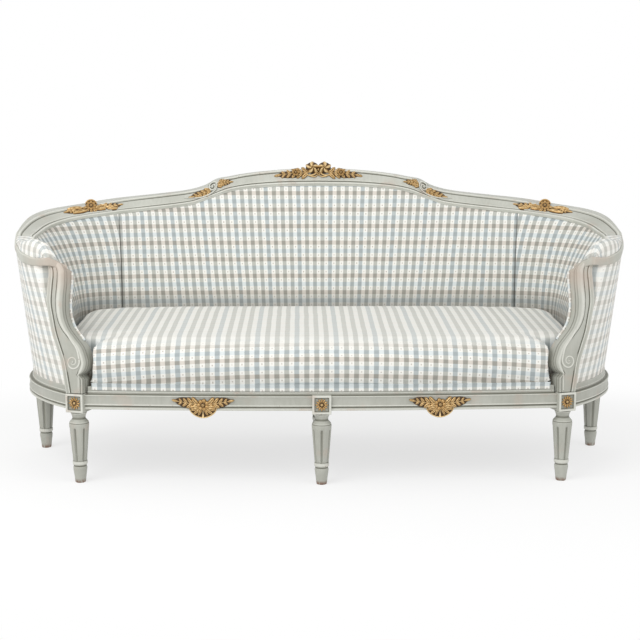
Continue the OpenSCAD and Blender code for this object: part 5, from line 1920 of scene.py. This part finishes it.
    def make(self, finish: Finish) -> None:
        """Makes the inside back and arms and the outside covers."""
        u, across = self.stations(self.seam_u + self.seam_gap, 1.0)
        rows, along = self.pad_ring(u)
        along = np.concatenate([along, along[-2::-1]])
        wide = np.concatenate([across, -across[-2::-1]])
        self.padding("filled_inside_back", "inside_back", doubled(rows), along, wide, 0.0, finish)
        outer, cloth = self.cover(u, across)
        self.outside("outside_back_cover", ["outside_back"], doubled(outer), doubled(cloth), finish)
        for half in Half:
            sign = np.array([half.value, 1, 1])
            u, across = self.stations(self.pad_end_u, self.seam_u)
            rows, along = self.pad_ring(u)
            self.padding(f"filled_inside_arm_{half.tail}", f"inside_arm_{half.tail}", rows * sign, along,
                         across * half.value, self.lean, finish)
            u, across = self.stations(self.cover_end_u, self.seam_u)
            outer, cloth = self.joined(*self.cover(u, across * half.value))
            self.outside(f"outside_arm_cover_{half.tail}", [f"outside_arm_{half.tail}"], outer * sign, cloth, finish)


def relax(piece: bpy.types.Object, factor: float = 0.8, repeat: int = 2, margin: float = 0.004) -> None:
    """Relaxes a piece's mesh in plan, without a modifier left on it.

    Args:
        piece: The piece.
        factor: How far each point moves to the middle of its neighbours.
        repeat: How often.
        margin: Metres at the foot and the top that stay as they are.
    """
    bm = bmesh.new()
    bm.from_mesh(piece.data)
    low, high = piece.bound_box[0][2] + margin, piece.bound_box[6][2] - margin
    ends = {v.index for f in bm.faces if len(f.verts) > 4 for v in f.verts}
    inner = [v for v in bm.verts if low < v.co.z < high and v.index not in ends]
    for _ in range(repeat):
        bmesh.ops.smooth_vert(bm, verts=inner, factor=factor, use_axis_x=True, use_axis_y=True, use_axis_z=False)
    bm.to_mesh(piece.data)
    bm.free()


@dataclass
class ArmPads:
    """Padded rests on the front half of the arms."""

    rail: TopRail
    start: float = -0.965
    end: float = -0.08
    share: float = 0.8
    nose: float = 0.09
    pleat: float = 5.0
    # Painted light: how far the check pales on the arm pads.
    fade: float = 0.6
    heights: Smooth = Smooth(
        (-1, 58), (-0.9, 59), (-0.8, 54), (-0.7, 43), (-0.6, 31), (-0.5, 20), (-0.4, 12), (-0.3, 8), (-0.2, 5),
        (-0.1, 2.5), (0, 1.5))
    gap: float = 0.8
    width: float = 58
    rings: int = 96
    arc: int = 31
    touch: float = 0.0005
    nose_y: float = -0.19
    nose_slack: float = 26
    fullness: float = 0.8
    stuffing: Stuffing = Stuffing(pressure=3, cap=5)

    def top(self, u: Array, t: Array) -> Array:
        """Height of the rail's face at shares across it."""
        k = self.rail.face_share(u)
        return lerp(self.rail.top_z(u), self.rail.low_z(u), np.maximum(0, (t - k) / (1 - k)))

    def rows(self) -> tuple[Array, Array]:
        """Rings of the pad and their cloth coordinates."""
        even = np.linspace(0, 1, self.rings)
        w = lerp(even, (1 - np.cos(math.pi * even)) / 2, 0.75)
        u = lerp(self.start, self.end, w)
        nose = np.sqrt(np.clip(1 - (1 - np.clip(w / self.nose, 0, 1)) ** 2, 0.004, 1))
        height = self.heights(u) * nose
        o, i = self.rail.outer(u), self.rail.inner.at(u)
        points, along = [], []
        for a in np.radians(np.linspace(0, 180, self.arc)):
            t = 0.5 - math.cos(a) * self.share / 2
            pleat = self.pleat * np.exp(-((w / (2.2 * self.nose)) ** 2)) * math.cos(6 * a) ** 8 * math.sin(a)
            rise = height * math.sin(a) ** 0.7 - pleat * nose
            points.append(raised(lerp(o, i, t), self.top(u, t) + self.gap + np.maximum(rise, 0)))
            along.append(self.width * a * self.share)
        for s in np.linspace(1, 0, 9)[1:-1]:
            t = 0.5 + (s - 0.5) * self.share
            points.append(raised(lerp(o, i, t), self.top(u, t) + self.gap))
            along.append(self.width * math.pi * self.share * s)
        rows = np.stack(points, 1)
        return rows, laid(lengths(rows[:, self.arc // 2])[:, None], np.array(along), self.fade)

    def make(self, finish: Finish) -> None:
        """Makes both pads."""
        rows, cloth = self.rows()
        for half in Half:
            node = f"arm_pad_{half.tail}"
            shape = Shape().rings(rows * np.array([half.value, 1, 1]), cloth=cloth)
            piece = shape.made(f"filled_{node}", finish, [node], SMOOTH)
            points = coords(piece.data)
            slack = np.where(points[:, 1] < self.nose_y, self.nose_slack, 1.0)
            self.stuffing.fill(piece, node, self.below(points, rows), slack)

    def below(self, points: Array, rows: Array) -> Array:
        """Whether each point lies on the underside, which is tacked to the rail."""
        base = rows[:, self.arc:].reshape(-1, 3) * MM
        near = [np.min(np.linalg.norm(side[None] - points[:, None], axis=-1), axis=1) for side in (base, base * FLIP)]
        return np.minimum(*near) < self.touch


@dataclass
class Seat:
    """The tight seat with its crowned top and bulging front."""

    plan: Plan = SEAT_PLAN
    side_gap: float = 2.4
    notch_u: float = -0.93
    notch_x: float = 683
    corner_x: float = 692
    notch_y: float = 272
    front_y: float = 340
    mid_y: float = -70.5
    depth: Pair = (387, 633)
    bulge: float = 22
    crown: float = 11
    front_h: float = 438
    reach_x: Pair = (600, 92)
    tacked_h: float = 4
    corner_from: Pair = (0.62, -0.255)
    corner_slack: float = 26
    fullness: float = 0.8
    profile_parts: int = 260
    chunk: int = 4000
    voxel: float = 0.011
    stuffing: Stuffing = Stuffing(cap=10, margin=1.0)
    levels: tuple[tuple[float, float, float, float], ...] = (
        (1, 0.05, 0, 0), (1, 0.16, 0.09, 0), (1, 0.42, 0.2, 0), (1, 0.72, 0.32, 0), (1, 0.93, 0.45, 0), (1, 1, 0.6, 0),
        (0.999, 0.81, 0.745, 0), (0.997, 0.255, 0.87, 0), (0.99, -0.36, 0.94, 0), (0.98, -1.0, 0.985, 0),
        (0.965, -1.7, 1, 0.05), (0.94, -2.0, 1, 0.15), (0.9, -2.0, 1, 0.32), (0.82, -1.6, 1, 0.55),
        (0.75, -1.2, 1, 0.72), (0.5, -0.6, 1, 0.95), (0.2, 0, 1, 1))
    reach: Pairs = (
        (300, 16), (340, 11), (360, 6), (375, 2), (390, 4), (410, 8), (440, 3))
    weave_share: float = 0.906
    row_shift: float = 21
    # Painted light: how far the check pales on the top of the seat, and the heights over which it does.
    top_fade: float = 0.85
    fade_z: Pair = (405, 40)
    hem_z: Pair = (289.5, 312)
    hem_x: float = 698
    hem_y: float = 376.4
    hem_t: float = 1.8
    hem_lean: float = 5
    hem_run: float = 1.002
    hem_full: float = 0.97

    def edge(self) -> Array:
        """Plan of the seat's right half, from the back's middle to the front's."""
        u = np.linspace(1, self.notch_u, 60)
        side = self.plan.inset(u, np.full_like(u, self.side_gap))
        x = np.linspace(self.corner_x, 0, 30)
        front = vectors(x, -self.front_y - SEAT_BOW + SEAT_BOW * (x / self.notch_x) ** 2)
        return np.concatenate([side, [[self.notch_x, -self.notch_y]], front])

    def top(self, y: Array) -> Array:
        """Height of the seat's edge."""
        return lerp(self.front_h, SEAT_BACK, ease((y + self.depth[0]) / self.depth[1]))

    def rings(self) -> Array:
        """Rings of the whole seat."""
        edge = self.edge()
        ahead = edge[:, 1] < -self.notch_y - 0.4
        from_x, over_x = self.reach_x
        rows = []
        for plan, bulge, height, crown in self.levels:
            lean = np.where(ahead, self.bulge * bulge, 0)
            q = vectors(edge[:, 0] * plan, edge[:, 1] * plan + self.mid_y * (1 - plan) - lean)
            z = lerp(SOFT_FOOT, self.top(q[:, 1]), height) + self.crown * crown
            push = np.interp(z, *zip(*self.reach)) * np.clip((q[:, 0] - from_x) / over_x, 0, 1) ** 2
            q[:, 0] += np.where(ahead, push, 0)
            rows.append(doubled(raised(q, z))[:-1])
        return np.stack(rows)

    def pattern(self, points: Array) -> Array:
        """Cloth coordinates in metres: straight across, and along the profile from hem to back."""
        rings = self.rings()
        front = int(np.argmin(np.abs(rings[0, :, 0]) + (rings[0, :, 1] > 0) * 1e6))
        line = rings[:, front, 1:]
        line = np.concatenate([line, [[y, float(self.top(np.array(y))) + self.crown] for y in (0, 120, 240)]])
        at = np.linspace(0, len(line) - 1, self.profile_parts)
        fine = np.stack([np.interp(at, np.arange(len(line)), line[:, i]) for i in range(2)], -1)
        s = lengths(fine)
        last = self.profile_parts - 1
        p = points / MM
        bow = SEAT_BOW * (p[:, 0] / self.notch_x) ** 2
        along = np.empty(len(p))
        for i in range(0, len(p), self.chunk):
            some = slice(i, i + self.chunk)
            q = vectors(p[some, 1] - bow[some], p[some, 2])
            j = np.argmin(np.linalg.norm(q[:, None] - fine[None], axis=-1), 1)
            tangent = unit(fine[np.minimum(j + 1, last)] - fine[np.maximum(j - 1, 0)])
            along[some] = s[j] + ((q - fine[j]) * tangent).sum(1)
        # Painted light: the check pales over the seat's top.
        light_wash = self.top_fade * ease((p[:, 2] - self.fade_z[0]) / self.fade_z[1])
        return laid(p[:, 0] * self.weave_share, along + bow - self.row_shift, light_wash / MM) * MM

    def make(self, finish: Finish) -> None:
        """Makes the seat."""
        piece = Shape().rings(self.rings()).made("filled_seat", finish, ["seat_cushion"], SMOOTH)
        apply_modifier(piece, "REMESH", mode="VOXEL", voxel_size=self.voxel, use_smooth_shade=True)
        p = coords(piece.data)
        corner = (np.abs(p[:, 0]) > self.corner_from[0]) & (p[:, 1] < self.corner_from[1])
        slack = np.where(corner, self.corner_slack, 0.0)
        self.stuffing.fill(piece, "seat_cushion", p[:, 2] < (SOFT_FOOT + self.tacked_h) * MM, slack)
        apply_modifier(piece, "SUBSURF", levels=1, render_levels=1)
        stored(piece.data, "cloth", self.pattern(coords(piece.data)))
        piece.data.materials.clear()
        piece.data.materials.append(finish.material())
        piece.data.shade_smooth()
        self.hem(finish)

    def hem(self, finish: Finish) -> None:
        """Folded edge of the seat's cloth, tacked to the cap of the front rails."""
        x = np.linspace(-self.hem_x, self.hem_x, 120)
        low, high = self.hem_z
        lean, thick = self.hem_lean, self.hem_t
        profile = ((0, low + 0.6), (-0.4, low + 4), (-0.6, high - 8), (-lean, high - 1), (thick * 0.5 - lean, high),
                   (thick - lean, high - 1), (thick, high - 8), (thick, low + 0.6), (thick * 0.5, low))
        bow = SEAT_BOW * (x / LEG_X) ** 2 - self.hem_y
        rows = np.stack([vectors(x, bow + y, z) for y, z in profile], 1)
        cloth = laid(rows[..., 0] * self.weave_share, rows[..., 2] - SOFT_FOOT - self.row_shift)
        piece = Shape().rings(rows, cloth=cloth).made("seat_hem", finish, [], CREASED)


def apply_modifier(piece: bpy.types.Object, kind: str, **settings: object) -> None:
    """Applies a modifier and removes it.

    Args:
        piece: The piece, whose mesh is replaced.
        kind: Type of the modifier.
        **settings: Its properties.
    """
    modifier = piece.modifiers.new("work", kind)
    for name, value in settings.items():
        setattr(modifier, name, value)
    depsgraph = bpy.context.evaluated_depsgraph_get()
    mesh = bpy.data.meshes.new_from_object(piece.evaluated_get(depsgraph), preserve_all_data_layers=True,
                                           depsgraph=depsgraph)
    piece.modifiers.remove(modifier)
    old = piece.data
    piece.data = mesh
    name = old.name
    bpy.data.meshes.remove(old)
    mesh.name = name


@dataclass
class Underside:
    """Webbing, hessian and dust cover under the seat, and the hidden boards."""

    sag: float = 5
    cell: float = 60
    weld: float = 1e-5

    def sheet(self, name: str, node: str, finish: Finish, sag: float) -> bpy.types.Object:
        """Copy of a flat CAD sheet, cut into cells and sagged.

        Args:
            name: Name of the piece.
            node: CAD node that it stands for.
            finish: Its finish.
            sag: Fall of its middle in millimetres.

        Returns:
            The piece.
        """
        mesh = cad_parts[node].data.copy()
        mesh.name = name
        bm = bmesh.new()
        bm.from_mesh(mesh)
        bmesh.ops.remove_doubles(bm, verts=bm.verts, dist=self.weld)
        low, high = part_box(node)
        for axis in (0, 1):
            normal = Vector((1 - axis, axis, 0))
            count = int((high[axis] - low[axis]) / (self.cell * MM))
            for i in range(1, count):
                spot = normal * (low[axis] + (high[axis] - low[axis]) * i / count)
                whole = bm.verts[:] + bm.edges[:] + bm.faces[:]
                bmesh.ops.bisect_plane(bm, geom=whole, plane_co=spot, plane_no=normal)
        middle = (low + high) / 2
        for v in bm.verts:
            x = (v.co.x - middle.x) / (high.x - low.x) * 2
            y = (v.co.y - middle.y) / (high.y - low.y) * 2
            v.co.z -= sag * MM * max(0.0, 1 - x * x) * max(0.0, 1 - y * y)
        bm.to_mesh(mesh)
        bm.free()
        mesh.materials.clear()
        mesh.materials.append(finish.material())
        return registered(linked(name, mesh), [node])

    def make(self, wood: Finish) -> None:
        """Makes the sheets and dresses the hidden wood."""
        for name, node, finish, sag in (("woven_webbing", "seat_webbing", JUTE, 0),
                                        ("hessian_sheet", "seat_hessian", JUTE, 0),
                                        ("cambric_dust_cover", "dust_cover", CAMBRIC, self.sag)):
            piece = self.sheet(name, node, finish, sag)
        for name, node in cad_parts.items():
            if not node.hide_render:
                node.data.materials.clear()
                node.data.materials.append(wood.material())
                LOG.info("%s keeps its CAD mesh", name)


@dataclass
class Studio:
    """Floor, light and camera."""

    lens: float = 67.5
    camera_at: Triple = (-0.060, -3.93, 1.007)
    camera_turn: Triple = (82.0, 0.0, -0.883)
    world_light: float = 0.62
    lamps: tuple[tuple[str, Triple, float], ...] = (
        ("key", (-2.2, -2.6, 3.2), 95.0), ("fill", (2.6, -2.4, 2.4), 30.0))
    lamp_size: float = 3.0
    aim: Triple = (0.0, 0.0, 0.4)
    floor_half: float = 30.0
    pool: Pair = (1.7, 1.15)

    def camera(self) -> None:
        """Camera at the photograph's angle."""
        data = bpy.data.cameras.new("camera")
        data.lens = self.lens
        data.sensor_width = 36.0
        camera = linked("camera", data)
        camera.location = self.camera_at
        camera.rotation_euler = [math.radians(a) for a in self.camera_turn]
        bpy.context.scene.camera = camera

    def world(self) -> None:
        """White to the camera and in reflections, softer as light."""
        world = bpy.data.worlds.new("studio")
        g = Graph.cleared(world)
        path = g.node("ShaderNodeLightPath").outputs
        seen = g.number(path["Is Camera Ray"]).larger(g.number(path["Is Glossy Ray"])).larger(
            g.number(path["Is Transmission Ray"]))
        lit = g.node("ShaderNodeBackground", None, {"Color": (1, 1, 1, 1), "Strength": self.world_light})
        shown = g.node("ShaderNodeBackground", None, {"Color": (1, 1, 1, 1), "Strength": 1.0})
        both = g.node("ShaderNodeMixShader", None, {0: seen, 1: lit.outputs[0], 2: shown.outputs[0]})
        g.surface("ShaderNodeOutputWorld", both)
        bpy.context.scene.world = world

    def lamp(self, name: str, place: Triple, power: float) -> None:
        """Square soft lamp that faces the sofa."""
        data = bpy.data.lights.new(name, "AREA")
        data.size = self.lamp_size
        data.energy = power
        lamp = linked(name, data)
        lamp.location = place
        lamp.rotation_euler = (Vector(self.aim) - Vector(place)).to_track_quat("-Z", "Y").to_euler()

    def floor(self) -> None:
        """Pale floor that keeps the shadow and turns white further out."""
        mesh = bpy.data.meshes.new("floor")
        h = self.floor_half
        mesh.from_pydata([(-h, -h, 0), (h, -h, 0), (h, h, 0), (-h, h, 0)], [], [(0, 1, 2, 3)])
        material = bpy.data.materials.new("floor_paper")
        g = Graph.cleared(material)
        x, y, _ = g.part(g.place())
        wide, deep = x / self.pool[0], y / self.pool[1]
        far = (wide * wide + deep * deep).root().between(0.75, 1.35)
        paper = g.node("ShaderNodeBsdfDiffuse", None, {"Color": (0.97, 0.97, 0.97, 1)})
        glow = g.node("ShaderNodeEmission", None, {"Color": (1, 1, 1, 1), "Strength": 1.0})
        both = g.node("ShaderNodeMixShader", None, {0: 0.7 + far * 0.3, 1: paper.outputs[0], 2: glow.outputs[0]})
        g.surface("ShaderNodeOutputMaterial", both)
        mesh.materials.append(material)
        linked("floor", mesh)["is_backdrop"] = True

    def make(self) -> None:
        """Sets the scene."""
        self.camera()
        self.world()
        self.floor()
        for name, place, power in self.lamps:
            self.lamp(name, place, power)
        bpy.context.scene.view_settings.view_transform = "Standard"


def plain(bounds: Iterable[Iterable[float]]) -> list[list[float]]:
    """Corners as plain lists."""
    return [[float(c) for c in corner] for corner in bounds]


def main() -> None:
    """Builds the sofa on its frame."""
    logging.basicConfig(level=logging.INFO, format="%(name)s: %(message)s")
    cad = plain(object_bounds())
    Studio().make()
    paint, gilt, check = PaintedWood(), GiltCarving(), CheckCloth()
    rail = TopRail()
    seat_rails = SeatRails()
    carver = Carver(Repeat("repeated_part"), gilt)
    posts = ArmPosts(carver)
    rail.make(paint)
    seat_rails.make(paint)
    Legs(Turning("turned_leg"), carver).make(paint, gilt)
    posts.make(paint, check)
    Carvings(carver, RailFace(rail), seat_rails, gilt).make(paint)
    Covers(rail, posts).make(check)
    ArmPads(rail).make(check)
    Seat().make(check)
    Underside().make(BareWood())
    {"cad": cad, "visual": plain(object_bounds())}


if __name__ == "__main__":
    main()
